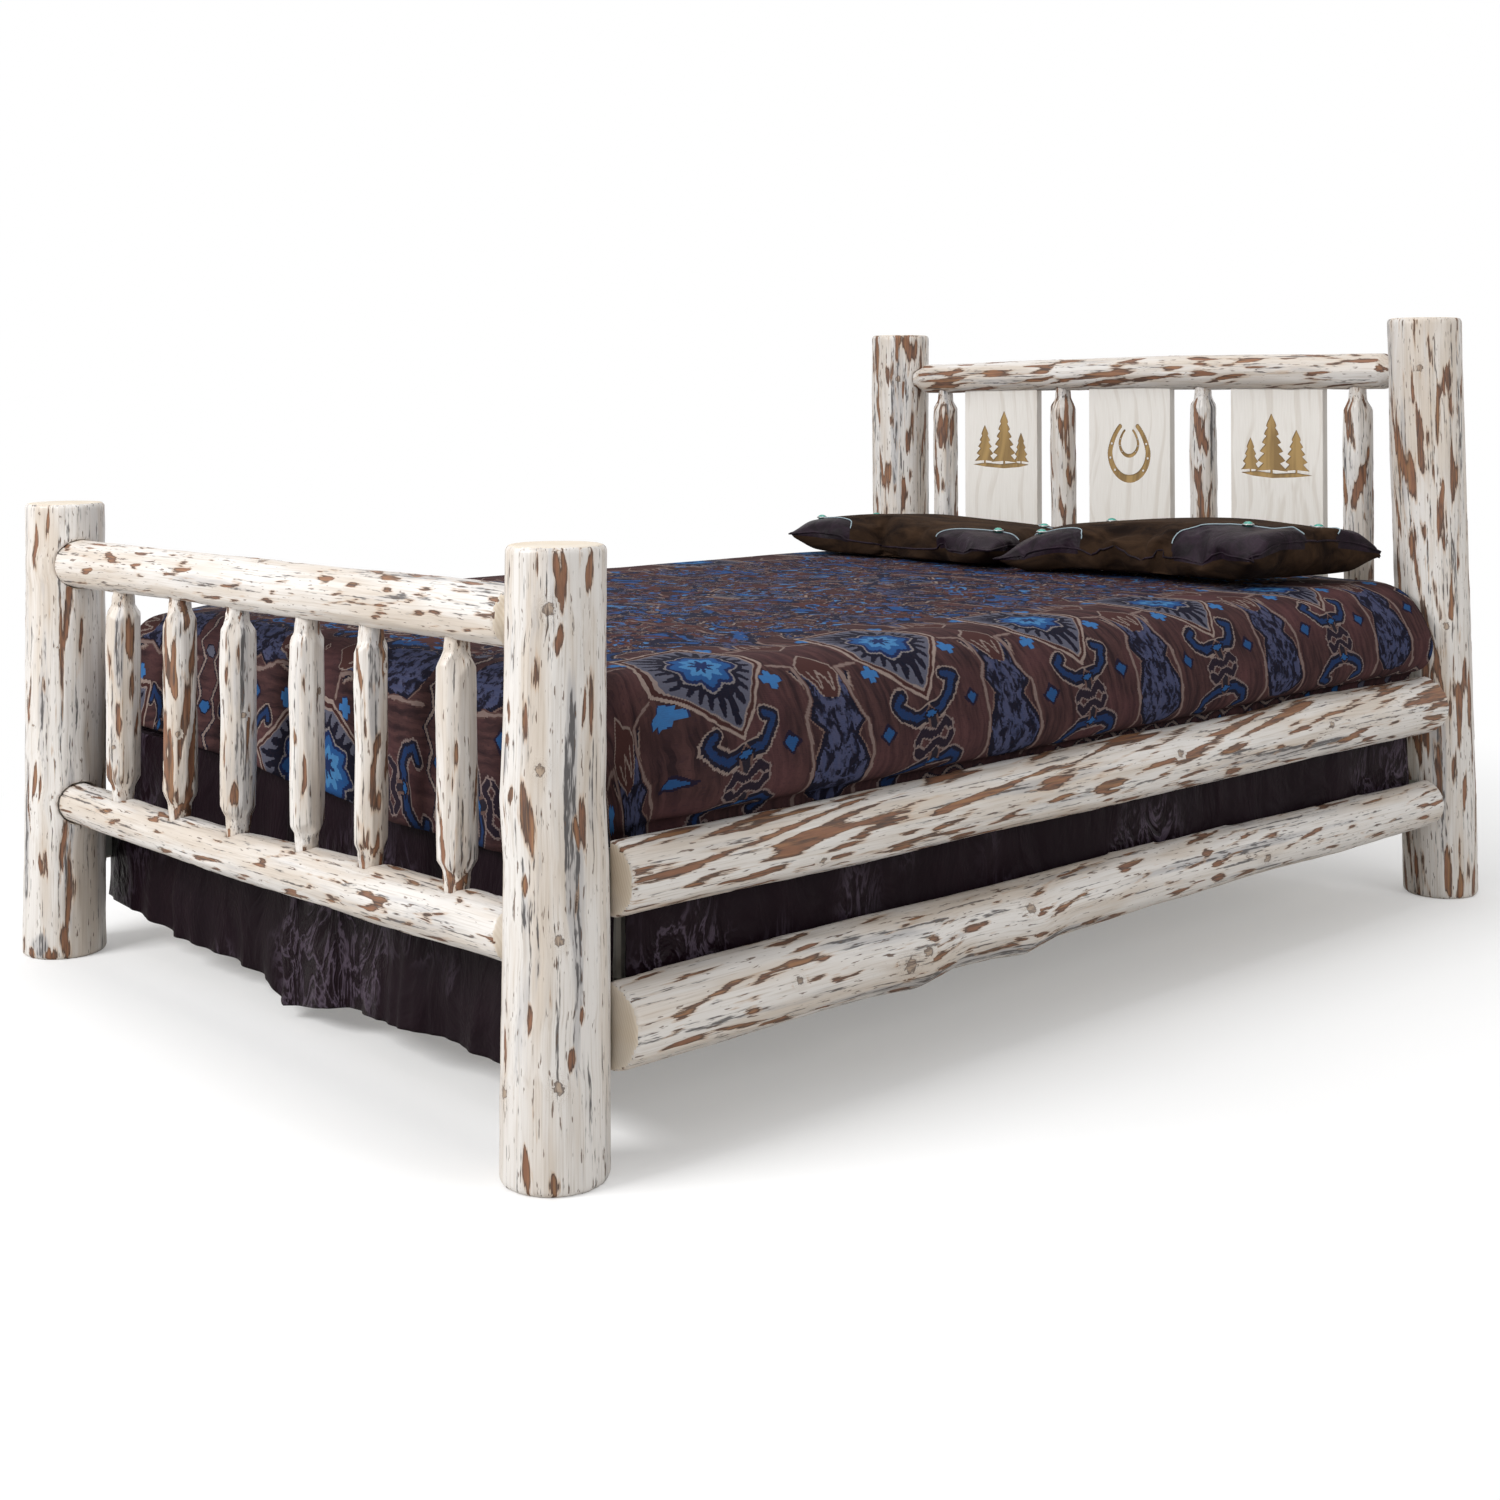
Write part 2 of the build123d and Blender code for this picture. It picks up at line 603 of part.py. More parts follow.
POSTS = {
    "foot_post_left": (-1, "foot", FOOT_POST_R, FOOT_POST_H, FOOT_POST_LEFT_GROWTH),
    "foot_post_right": (1, "foot", FOOT_POST_R, FOOT_POST_H, FOOT_POST_RIGHT_GROWTH),
    "head_post_left": (-1, "head", HEAD_POST_R, HEAD_POST_H, HEAD_POST_LEFT_GROWTH),
    "head_post_right": (1, "head", HEAD_POST_R, HEAD_POST_H, HEAD_POST_RIGHT_GROWTH),
}
for name, values in POSTS.items():
    rails = (FOOT_TOP, FOOT_BOTTOM) if values[1] == "foot" else (HEAD_TOP, HEAD_BOTTOM)
    write(name, post(*values, rails))


# ---- Ledgers, slats, centre beam ----


def wood_screw(length):
    """Countersunk, with the top of its head at z = 0 and its shank along +Z."""
    head = cone(WOOD_SCREW_HEAD_R, WOOD_SCREW_R, WOOD_SCREW_HEAD_H)
    shank = bar(length - WOOD_SCREW_HEAD_H, WOOD_SCREW_R, WOOD_SCREW_HEAD_H)
    return head + shank


def screw_hole(length):
    head = cone(
        WOOD_SCREW_HEAD_R + SCREW_CLEAR, WOOD_SCREW_R + SCREW_CLEAR, WOOD_SCREW_HEAD_H
    )
    return head + bar(length + HOLE_EXTRA, WOOD_SCREW_R + SCREW_CLEAR)


def evenly(first, last, count):
    return [first + (last - first) * i / (count - 1) for i in range(count)]


LEDGER_Y = (
    FOOT_FLAT_Y + ANGLE_RAIL_LEG + LEDGER_END_GAP, HEAD_FLAT_Y - ANGLE_RAIL_LEG - LEDGER_END_GAP
)
SLAT_Y = evenly(-MATTRESS_L / 2 + SLAT_RUN_IN, MATTRESS_L / 2 - SLAT_RUN_IN, SLAT_COUNT)
LEG_Y = SLAT_Y[(SLAT_COUNT - LEG_COUNT) // 2:][:LEG_COUNT]
# A ledger screw between each pair of slats, and one beyond the first and the last slat
STOPS = [LEDGER_Y[0]] + SLAT_Y + [LEDGER_Y[1]]
SCREW_Y = [(a + b) / 2 for a, b in zip(STOPS, STOPS[1:])]


def ledger_screws(side):
    x = side * (RAIL_FLAT_X - LEDGER_W)
    z = LEDGER_TOP_Z - LEDGER_H / 2
    return [facing(x, y, z, (side, 0, 0), (0, 1, 0)) for y in SCREW_Y]


def slat_screws(y):
    """Places of one slat's screws: one over each ledger and one over the beam."""
    x = RAIL_FLAT_X - LEDGER_W / 2
    return [facing(dx, y, SLAT_TOP_Z, (0, 0, -1), (1, 0, 0)) for dx in (-x, 0, x)]


def leg_screws(y):
    """Places of the screws through a leg's cheek into the side of the beam."""
    x = -BEAM_W / 2 - LEG_W / 4
    z = LEDGER_TOP_Z - BEAM_H / 2
    return [facing(x, y + dy, z, (1, 0, 0), (0, 1, 0)) for dy in (-LEG_W / 4, LEG_W / 4)]


def ledger(side):
    x0, x1 = sorted((side * RAIL_FLAT_X, side * (RAIL_FLAT_X - LEDGER_W)))
    strip = block(x0, x1, *LEDGER_Y, LEDGER_TOP_Z - LEDGER_H, LEDGER_TOP_Z)
    for place in ledger_screws(side):
        strip = strip - place * screw_hole(LEDGER_SCREW_L)
    for y in SLAT_Y:
        for place in slat_screws(y):
            strip = strip - place * screw_hole(SLAT_SCREW_L)
    return strip


def slat(y):
    x = RAIL_FLAT_X - SLAT_END_GAP
    plank = block(-x, x, y - SLAT_W / 2, y + SLAT_W / 2, LEDGER_TOP_Z, SLAT_TOP_Z)
    for place in slat_screws(y):
        plank = plank - place * screw_hole(SLAT_SCREW_L)
    return plank


def beam():
    y = MATTRESS_L / 2 - BEAM_SHORT
    web = block(-BEAM_W / 2, BEAM_W / 2, -y, y, LEDGER_TOP_Z - BEAM_H, LEDGER_TOP_Z)
    for y in SLAT_Y:
        web = web - slat_screws(y)[1] * screw_hole(SLAT_SCREW_L)
    for y in LEG_Y:
        for place in leg_screws(y):
            web = web - place * screw_hole(LEG_SCREW_L)
    return web


def leg(y):
    """A leg with a notch that the beam stands in, so its cheek covers the beam's side."""
    x_out = -BEAM_W / 2 - LEG_W / 4
    whole = block(x_out, BEAM_W / 2, y - LEG_W / 2, y + LEG_W / 2, 0, LEDGER_TOP_Z)
    notch = block(
        -BEAM_W / 2, BEAM_W, y - LEG_W, y + LEG_W, LEDGER_TOP_Z - BEAM_H, LEDGER_TOP_Z + BEAM_H
    )
    whole = whole - notch
    for place in leg_screws(y):
        whole = whole - place * screw_hole(LEG_SCREW_L)
    return whole


for name, rail in SIDE_RAILS.items():
    shape = half_log(rail)
    side = rail[0]
    for end in ("foot", "head"):
        for place in rail_lags(rail, end):
            shape = shape - place * lag_hole(RAIL_LAG_L)
        write(f"rail_angle_{end}_{name}", angle(rail, end))
    if name.startswith("lower"):
        for place in ledger_screws(side):
            shape = shape - place * screw_hole(LEDGER_SCREW_L)
    write("side_rail_" + name, shape)

for name, side in (("left", -1), ("right", 1)):
    write("ledger_" + name, ledger(side))
for i, y in enumerate(SLAT_Y):
    write(f"slat_{i + 1}", slat(y))
write("centre_beam", beam())
for i, y in enumerate(LEG_Y):
    write(f"centre_leg_{i + 1}", leg(y))


def group(places, piece):
    return Compound([place * piece for place in places])


ALL_ENDS = [(rail, end) for rail in SIDE_RAILS.values() for end in ("foot", "head")]
write(
    "post_lag_screws",
    group([p for rail, end in ALL_ENDS for p in post_lags(rail, end)], lag_screw(POST_LAG_L)),
)
write(
    "rail_lag_screws",
    group([p for rail, end in ALL_ENDS for p in rail_lags(rail, end)], lag_screw(RAIL_LAG_L)),
)
write(
    "ledger_screws",
    group(ledger_screws(-1) + ledger_screws(1), wood_screw(LEDGER_SCREW_L)),
)
write(
    "slat_screws",
    group([p for y in SLAT_Y for p in slat_screws(y)], wood_screw(SLAT_SCREW_L)),
)
write(
    "leg_screws",
    group([p for y in LEG_Y for p in leg_screws(y)], wood_screw(LEG_SCREW_L)),
)


# ---- Box spring, skirt, mattress ----


def padded(width, length, z0, z1, corner_r, edge_r):
    """A box with round upright corners and softened rims."""
    outline = RectangleRounded(width, length, corner_r)
    body = Pos(0, 0, z0) * extrude(outline, z1 - z0)
    rims = body.edges().group_by(Axis.Z)
    return fillet(rims[0] + rims[-1], edge_r)


write(
    "box_spring",
    padded(MATTRESS_W, MATTRESS_L, SLAT_TOP_Z, BOX_TOP_Z, MATTRESS_CORNER_R, BOX_SPRING_EDGE_R),
)
mattress = padded(
    MATTRESS_W, MATTRESS_L, MATTRESS_Z, MATTRESS_TOP_Z, MATTRESS_CORNER_R, MATTRESS_EDGE_R
)
write("mattress", mattress)

SKIRT_X = MATTRESS_W / 2 + SKIRT_GAP
SKIRT_Y = -MATTRESS_L / 2 - SKIRT_GAP
write(
    "skirt_deck",
    block(-SKIRT_X, SKIRT_X, SKIRT_Y, MATTRESS_L / 2, BOX_TOP_Z, DECK_TOP_Z),
)
for name, side in (("left", -1), ("right", 1)):
    x0, x1 = sorted((side * SKIRT_X, side * (SKIRT_X + SKIRT_T)))
    write(
        "skirt_" + name,
        block(x0, x1, SKIRT_Y, MATTRESS_L / 2, SLAT_TOP_Z + SKIRT_GAP, DECK_TOP_Z),
    )
write(
    "skirt_foot",
    block(-SKIRT_X, SKIRT_X, SKIRT_Y - SKIRT_FOLD, SKIRT_Y, SKIRT_HEM_Z, DECK_TOP_Z),
)


# ---- Bedspread ----


def bedspread():
    """Over the mattress, puffed out above the side rails, tucked in beside the mattress and
    hanging free over the foot, in front of the skirt."""
    side_x = MATTRESS_W / 2 + SOFT_GAP
    tuck_x = side_x + SPREAD_SIDE_T
    puff_x = side_x + SPREAD_BULGE
    tuck_z = UPPER_RAIL_TOP_Z - SPREAD_TUCK
    puff_z = UPPER_RAIL_TOP_Z + SOFT_GAP
    half = [
        (0, SPREAD_TOP_Z), (puff_x, SPREAD_TOP_Z), (puff_x, puff_z + SPREAD_BULGE - SPREAD_SIDE_T),
        (tuck_x, puff_z), (tuck_x, tuck_z), (0, tuck_z),
    ]
    outline = Polyline(*[(x, z) for x, z in half], close=True)
    face = make_face(Plane.XZ * outline)
    shoulder = face.vertices().group_by(Axis.Z)[-1].sort_by(Axis.X)[-1:]
    face = fillet(shoulder, SPREAD_SHOULDER_R)
    foot_in = MATTRESS_L / 2 + SKIRT_GAP + SKIRT_FOLD + SKIRT_GAP
    foot_y = -foot_in - SPREAD_FOOT_T
    half_body = extrude(face, MATTRESS_L / 2 - foot_y, dir=(0, 1, 0))
    half_body = Pos(0, foot_y, 0) * half_body
    whole = half_body + mirror(half_body, Plane.YZ)
    low_z = tuck_z - 2 * MATTRESS_H
    drop = block(-tuck_x, tuck_x, foot_y, -foot_in, low_z, tuck_z + SPREAD_T)
    room = block(-side_x, side_x, -foot_in, MATTRESS_L, low_z, MATTRESS_TOP_Z + SOFT_GAP)
    hem = [(share * tuck_x, SPREAD_TOP_Z - down) for share, down in SPREAD_HEM]
    below = make_face(Plane.XZ * Polyline((-tuck_x, low_z), *hem, (tuck_x, low_z), close=True))
    below = Pos(0, foot_y, 0) * extrude(below, SPREAD_FOOT_T, dir=(0, 1, 0))
    return whole + drop - room - below


write("bedspread", bedspread())


# ---- Pillows ----


def pillow():
    """A crowned cushion, flat where it lies."""
    rings = []
    for share, size in PILLOW_CROWN:
        outline = RectangleRounded(
            PILLOW_W - (1 - size) * PILLOW_D, PILLOW_D * size, PILLOW_CORNER_R * size
        )
        rings.append(Pos(0, 0, share * PILLOW_H) * outline)
    return loft(rings)


PILLOW_Y = HEAD_Y - HEAD_TOP_RAIL_R - PILLOW_BACK - PILLOW_D / 2
PILLOW_X = PILLOW_W / 2 + SPREAD_T
for name, side in (("left", -1), ("right", 1)):
    write("pillow_" + name, Pos(side * PILLOW_X, PILLOW_Y, SPREAD_TOP_Z + SOFT_GAP) * pillow())
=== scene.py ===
from math import cos, pi, radians, sin

import bpy
import numpy as np
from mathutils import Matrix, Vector, noise


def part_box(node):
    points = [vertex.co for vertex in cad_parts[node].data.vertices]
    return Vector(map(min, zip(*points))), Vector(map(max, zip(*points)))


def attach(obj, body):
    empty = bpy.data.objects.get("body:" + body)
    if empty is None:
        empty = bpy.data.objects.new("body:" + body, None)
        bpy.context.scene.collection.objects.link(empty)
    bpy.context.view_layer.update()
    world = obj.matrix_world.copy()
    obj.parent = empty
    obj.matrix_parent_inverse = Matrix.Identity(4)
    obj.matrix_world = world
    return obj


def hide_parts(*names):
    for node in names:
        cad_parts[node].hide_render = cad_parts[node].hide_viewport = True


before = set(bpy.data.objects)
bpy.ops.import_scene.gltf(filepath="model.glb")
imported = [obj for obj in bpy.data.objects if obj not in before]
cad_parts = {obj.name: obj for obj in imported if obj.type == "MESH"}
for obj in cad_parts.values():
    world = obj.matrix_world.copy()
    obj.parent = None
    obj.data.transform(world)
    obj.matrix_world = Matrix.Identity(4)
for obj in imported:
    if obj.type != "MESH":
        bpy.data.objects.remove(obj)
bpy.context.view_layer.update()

bpy.ops.object.select_all(action="DESELECT")


# ---- Camera ----
# A view camera on a tripod at seat height off the foot's right corner. It stands level and
# its lens is shifted down, so the posts stay upright in the picture.

camera = bpy.data.objects.new("camera", bpy.data.cameras.new("camera"))
bpy.context.scene.collection.objects.link(camera)
bpy.context.scene.camera = camera
camera.location = (2.954, -2.744, 1.031)
camera.rotation_euler = (radians(90.56), radians(0.13), radians(46.78))
camera.data.sensor_width = 36
camera.data.lens = 48.8
camera.data.shift_x = -0.0306
camera.data.shift_y = -0.2481
camera.data.clip_end = 100


# ---- Floor and studio light ----
# A studio sweep painted white, under a white tent with a large softbox on the left of the
# camera, a smaller one on its right and one overhead. None of it belongs to the bed.


def linear(code):
    """An sRGB hex colour as the linear RGBA that a shader takes."""
    parts = [int(code[i:i + 2], 16) / 255 for i in (1, 3, 5)]
    return tuple(p / 12.92 if p <= 0.04045 else ((p + 0.055) / 1.055) ** 2.4 for p in parts) + (1,)


def new_material(name):
    """An empty node material."""
    material = bpy.data.materials.new(name)
    material.use_nodes = True
    material.node_tree.nodes.clear()
    return material


def add(material, kind, inputs=(), **settings):
    """Adds a node with its settings and its inputs, in their order or by name. An input is a
    value, a hex colour, a socket or a node."""
    made = material.node_tree.nodes.new("ShaderNode" + kind)
    for name, value in settings.items():
        setattr(made, name, value)
    for name, value in inputs.items() if isinstance(inputs, dict) else enumerate(inputs):
        socket = made.inputs[name] if isinstance(name, int) else next(
            s for s in made.inputs if s.name == name and s.enabled
        )
        if isinstance(value, bpy.types.Node):
            value = next(s for s in value.outputs if s.enabled)
        if isinstance(value, bpy.types.NodeSocket):
            material.node_tree.links.new(value, socket)
        else:
            socket.default_value = linear(value) if isinstance(value, str) else value
    return made


bpy.ops.mesh.primitive_plane_add(size=24, location=(0, 0, 0))
bpy.ops.object.transform_apply(location=True, rotation=True, scale=True)
floor_sweep = bpy.context.object
floor_sweep.name = "floor_sweep"
paint = new_material("white_matt_emulsion")
rays = add(paint, "LightPath")
seen = add(paint, "BsdfDiffuse", {"Color": "#FFFFFF"})
glow = add(paint, "Emission", {"Color": "#FFFFFF", "Strength": 1.0})
# for camera rays the floor blends into a white glow: the soft shadow fades out two metres from the
# bed
from_bed = add(paint, "VectorMath", (
    add(paint, "TexCoord").outputs["Object"], (0.8, 0.62, 0),
), operation="MULTIPLY")
from_bed = add(paint, "VectorMath", (from_bed,), operation="LENGTH")
fade = add(paint, "MapRange", {
    "Value": from_bed.outputs["Value"], "From Min": 0.85, "From Max": 1.9, "To Min": 0.25,
}, interpolation_type="SMOOTHSTEP")
seen = add(paint, "MixShader", (fade, seen, glow))
lit = add(paint, "BsdfDiffuse", {"Color": "#DAD8D5"})
either = add(paint, "MixShader", (rays.outputs["Is Camera Ray"], lit, seen))
add(paint, "OutputMaterial", {"Surface": either})
floor_sweep.data.materials.append(paint)

tent = bpy.data.worlds.new("white_tent")
bpy.context.scene.world = tent
tent.use_nodes = True
tent.node_tree.nodes.clear()
rays = add(tent, "LightPath")
direct = rays.outputs["Is Camera Ray"]
for kind in ("Is Glossy Ray", "Is Transmission Ray"):
    direct = add(tent, "Math", (direct, rays.outputs[kind]), operation="MAXIMUM")
level = add(tent, "MapRange", {"Value": direct, "To Min": 0.5})
sky = add(tent, "Background", {"Color": "#FFFFFF", "Strength": level})
add(tent, "OutputWorld", {"Surface": sky})

for name, place, turn, size, power in (
    ("softbox_left", (-0.6, -5.2, 3.4), (62, 0, -8), (2.6, 2.0), 230),
    ("softbox_right", (5.4, 0.6, 2.6), (68, 0, 96), (2.2, 1.8), 52),
    ("softbox_top", (0.2, 0.2, 4.6), (0, 0, 0), (3.0, 3.0), 60),
):
    lamp = bpy.data.objects.new(name, bpy.data.lights.new(name, "AREA"))
    bpy.context.scene.collection.objects.link(lamp)
    lamp.location = place
    lamp.rotation_euler = [radians(t) for t in turn]
    lamp.data.shape = "RECTANGLE"
    lamp.data.size, lamp.data.size_y = size
    lamp.data.energy = power

bpy.context.scene.view_settings.view_transform = "Standard"


# ---- Posts ----
# Lodgepole pine logs of 150 mm, peeled by hand with a drawknife: it leaves long flats, a
# satin cream surface, and strips of red-brown inner bark where it skipped over a hollow.
# The ends are sawn square and their rims eased with a round-over bit.

X, Y, Z = 0, 1, 2


def pick(piece):
    """Selects one piece alone and makes it active."""
    bpy.ops.object.select_all(action="DESELECT")
    bpy.context.view_layer.objects.active = piece
    piece.select_set(True)


def work_in(piece, kind, **settings):
    """Applies a modifier with its settings."""
    made = piece.modifiers.new(kind, kind)
    for name, value in settings.items():
        setattr(made, name, value)
    bpy.ops.object.modifier_apply(modifier=made.name)


def even_copy(node, name, voxel):
    """A copy of a CAD node with its doubles merged and its skin made anew in even quads."""
    piece = bpy.data.objects.new(name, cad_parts[node].data.copy())
    bpy.context.scene.collection.objects.link(piece)
    piece.data.materials.clear()
    pick(piece)
    bpy.ops.object.mode_set(mode="EDIT")
    bpy.ops.mesh.select_all(action="SELECT")
    bpy.ops.mesh.remove_doubles(threshold=0.00002)
    bpy.ops.object.mode_set(mode="OBJECT")
    work_in(piece, "REMESH", mode="VOXEL", voxel_size=voxel)
    work_in(piece, "SMOOTH", iterations=2, factor=0.4)
    bpy.ops.object.shade_smooth()
    return piece


def points(piece, what="co"):
    """The mesh's points, or their normals, as rows of an array."""
    flat = np.empty(len(piece.data.vertices) * 3)
    piece.data.vertices.foreach_get(what, flat)
    return flat.reshape(-1, 3)


def keep_points(piece, rows):
    """Puts changed points back into the mesh."""
    piece.data.vertices.foreach_set("co", rows.ravel())
    piece.data.update()


def keep_attribute(piece, name, values):
    """Stores a number or a vector at each point for the material to read."""
    kind, field = ("FLOAT", "value") if values.ndim == 1 else ("FLOAT_VECTOR", "vector")
    made = piece.data.attributes.new(name, kind, "POINT")
    made.data.foreach_set(field, values.ravel())


def noise_at(*place, shift=(0, 0, 0)):
    """Smooth noise at many points, from their three coordinates."""
    shift = Vector(shift)
    return np.array([noise.noise(Vector(spot) + shift) for spot in np.broadcast(*place)])


def waves(a, b, along, around_size, along_size, seed):
    """Smooth noise stretched along a log: its wavelengths around and along it, in metres."""
    shift = (seed * 3.17, seed * 7.31, seed * 1.93)
    return noise_at(a / around_size, b / around_size, along / along_size, shift=shift)


def smoothstep(values, low, high):
    """Eases from 0 at a low value to 1 at a high one."""
    t = np.clip((values - low) / (high - low), 0, 1)
    return t * t * (3 - 2 * t)


def heart(along, a, b, half_at=None):
    """The centre line and the skin radius of a log, worked out slice by slice."""
    slice_length, fewest = 0.025, 8
    cuts = np.floor((along - along.min()) / slice_length).astype(int)
    rows = []
    for cut in range(cuts.max() + 1):
        inside = cuts == cut
        if inside.sum() < fewest:
            continue
        ca = (a[inside].min() + a[inside].max()) / 2 if half_at is None else half_at
        cb = (b[inside].min() + b[inside].max()) / 2
        reach = np.hypot(a[inside] - ca, b[inside] - cb).max()
        rows.append((along.min() + (cut + 0.5) * slice_length, ca, cb, reach))
    rows = np.array(rows)
    return [np.interp(along, rows[:, 0], rows[:, i]) for i in (1, 2, 3)]


def shave(piece, axis, seed, flats=13, flat_depth=0.45, bark=0.3, strip=(0.014, 0.17),
          patches=(), knots=(), greys=(), half_at=None, lump=0.0022, whittled=None):
    """Works a smooth log over as the drawknife left it, and marks its bark, weather and knots.
    patches and greys are (degrees round the log, place along it, half width, half length) in
    mm, and knots (degrees, place along, radius). A lower bark number leaves more bark on."""
    dent, hollow, mound, ring_depth = 0.0007, 0.0012, 0.0012, 0.001
    rows, normals = points(piece), points(piece, "normal")
    side = [i for i in range(3) if i != axis]
    along, a, b = rows[:, axis], rows[:, side[0]], rows[:, side[1]]
    ca, cb, skin = heart(along, a, b, half_at)
    a, b = a - ca, b - cb
    r = np.maximum(np.hypot(a, b), 1e-5)
    turn = np.arctan2(b, a)
    out = (normals[:, side[0]] * a + normals[:, side[1]] * b) / r
    weight = smoothstep(r / skin, 0.86, 0.95) * smoothstep(out, 0.2, 0.7)

    def round_from(degrees):
        """How far round the log the points lie from an angle, in mm."""
        return ((turn - radians(degrees) + pi) % (2 * pi) - pi) * skin * 1000

    # long flats of the drawknife, drifting round the log as they go up
    drift = turn + 0.5 * waves(0, 0, along, 1, 0.35, seed + 1)
    cell = (drift * flats / (2 * pi)) % 1 - 0.5
    half = pi / flats
    push = skin * flat_depth * (cos(half) / np.cos(cell * 2 * half) - 1)
    push += lump * waves(a, b, along, 0.07, 0.3, seed + 2)
    push += dent * waves(a, b, along, 0.02, 0.05, seed + 3)
    # bark left in the hollows, in strips that lean a little round the log
    width, length = strip
    lean = 0.1 * along
    left = waves(a + lean, b - lean, along, width, length, seed + 4)
    left += 0.3 * waves(a + lean, b - lean, along, width / 2, length / 3, seed + 5)
    left = left - bark
    for degrees, place, half_w, half_l in patches:
        tilt = 0.12 * np.sin(place * 0.37) * (along * 1000 - place)
        u = np.abs(round_from(degrees) - tilt) / half_w
        v = np.abs(along * 1000 - place) / half_l
        left = np.maximum(left, 0.4 * (1 - v ** 1.6 - u))
    push -= hollow * smoothstep(left, -0.05, 0.12)
    grey = np.zeros(len(r))
    for degrees, place, half_w, half_l in greys:
        u = round_from(degrees) / half_w
        v = (along * 1000 - place) / half_l
        grey = np.maximum(grey, 1 - smoothstep(np.hypot(u, v), 0.35, 1.0))
    # knots: a low mound round a sunk ring
    ring = np.zeros(len(r))
    for degrees, place, size in knots:
        away = np.hypot(round_from(degrees), (along * 1000 - place) * 0.85) / size
        left = np.where(away < 2.4, np.minimum(left, -0.2), left)
        push += mound * np.exp(-(away / 2.4) ** 2)
        push -= ring_depth * np.exp(-((away - 1) / 0.35) ** 2)
        ring = np.maximum(ring, np.clip(1 - away / 4, 0, 1))
    reach = r + push * weight
    if whittled:
        reach = np.minimum(reach, whittled(turn, along, skin))
    rows[:, side[0]] = ca + a / r * reach
    rows[:, side[1]] = cb + b / r * reach
    keep_points(piece, rows)
    keep_attribute(piece, "grain", np.stack([a + seed * 0.7, b + seed * 0.3, along + seed], 1))
    keep_attribute(piece, "bark", left)
    keep_attribute(piece, "grey", grey)
    keep_attribute(piece, "knot", ring)


def wash(material, below, colour, field, low=0, high=1, most=1, least=0, ease="SMOOTHSTEP"):
    """Lays a colour over another, by a share that goes from least to most as a field rises."""
    share = add(material, "MapRange", {
        "Value": field, "From Min": low, "From Max": high, "To Min": least, "To Max": most,
    }, interpolation_type=ease)
    return add(material, "Mix", {"Factor": share, "A": below, "B": colour}, data_type="RGBA")


def drawn_out(material, place, scale, detail, roughness=0.5, distortion=0, shift=(0, 0, 0)):
    """Noise drawn out along the axes, by its scales per metre."""
    way = add(material, "Mapping", {"Vector": place, "Location": shift, "Scale": scale})
    return add(material, "TexNoise", {
        "Vector": way, "Scale": 1, "Detail": detail, "Roughness": roughness,
        "Distortion": distortion,
    })


def finish(material, colour, roughness, relief=None, depth=0, strength=1, more=None):
    """Ends a material in its shader, with a relief of a depth in metres."""
    inputs = {"Base Color": colour, "Roughness": roughness, **(more or {})}
    if relief:
        inputs["Normal"] = add(material, "Bump", {
            "Height": relief, "Distance": depth, "Strength": strength,
        })
    shader = add(material, "BsdfPrincipled", inputs)
    add(material, "OutputMaterial", {"Surface": shader})


# Peeled and lacquered lodgepole pine: cream sapwood with fine fibres along the log, grey and
# blue-black weather streaks, small dark nicks, and bark that goes from tan to dark brown at
# its torn rim. Noise scales are per metre, round the log and along it.
pine = new_material("peeled_lodgepole_pine")
grain = add(pine, "Attribute", attribute_name="grain").outputs["Vector"]
bark_field, grey_field, knot_field = (
    add(pine, "Attribute", attribute_name=name).outputs["Fac"] for name in ("bark", "grey", "knot")
)
fibre, broad, weather, streak, fleck, nick, crust = (
    drawn_out(pine, grain, (around, around, along), detail, 0.6, shift=(k, 2 * k, 3 * k))
    for k, (around, along, detail) in enumerate((
        (330, 8, 3), (22, 2.4, 3), (30, 2.6, 4), (190, 5, 3), (130, 15, 3), (230, 32, 2),
        (260, 60, 4),
    ))
)
warm, scraped = (
    add(pine, "MapRange", {
        "Value": field, "From Min": low, "From Max": high, "To Max": most,
    }, interpolation_type="SMOOTHSTEP")
    for field, low, high, most in ((broad, 0.4, 0.66, 1), (streak, 0.57, 0.72, 0.6))
)
sapwood = add(pine, "Mix", {"Factor": warm, "A": "#DFDBD7", "B": "#CEC3B7"}, data_type="RGBA")
sapwood = wash(pine, sapwood, "#A99A89", fibre, 0.46, 0.72, 0.42)
# tan fibres where the knife only just took the bark off
scraped = add(pine, "Math", (scraped, warm), operation="MULTIPLY")
sapwood = add(pine, "Mix", {"Factor": scraped, "A": sapwood, "B": "#9C7B5C"}, data_type="RGBA")
# weathering: a grey cast, and blue-black fibres in it
cast = add(pine, "Math", (grey_field, 0.25, weather), operation="MULTIPLY_ADD")
stain = add(pine, "Math", (cast, 0.55, streak), operation="MULTIPLY_ADD")
stain = add(pine, "Math", (nick, 0.6, stain), operation="MULTIPLY_ADD")
# the rim of the bark is torn along the fibres
torn = add(pine, "Math", (fleck, fibre), operation="ADD")
torn = add(pine, "MapRange", {
    "Value": torn, "From Min": 0.6, "From Max": 1.4, "To Min": -0.24, "To Max": 0.24,
})
edge = add(pine, "Math", (bark_field, torn), operation="ADD")
for colour, field, low, high, most in (
    ("#A4A3A6", cast, 0.54, 0.72, 0.62), ("#353234", stain, 1.18, 1.3, 0.88),
    ("#5E4635", nick, 0.645, 0.685, 0.85), ("#BC9D80", edge, -0.15, 0.0, 0.55),
):
    sapwood = wash(pine, sapwood, colour, field, low, high, most)
bark = wash(pine, "#452A1D", "#7F5135", fleck, 0.38, 0.6)
bark = wash(pine, bark, "#9A6F49", streak, 0.48, 0.66, 0.75)
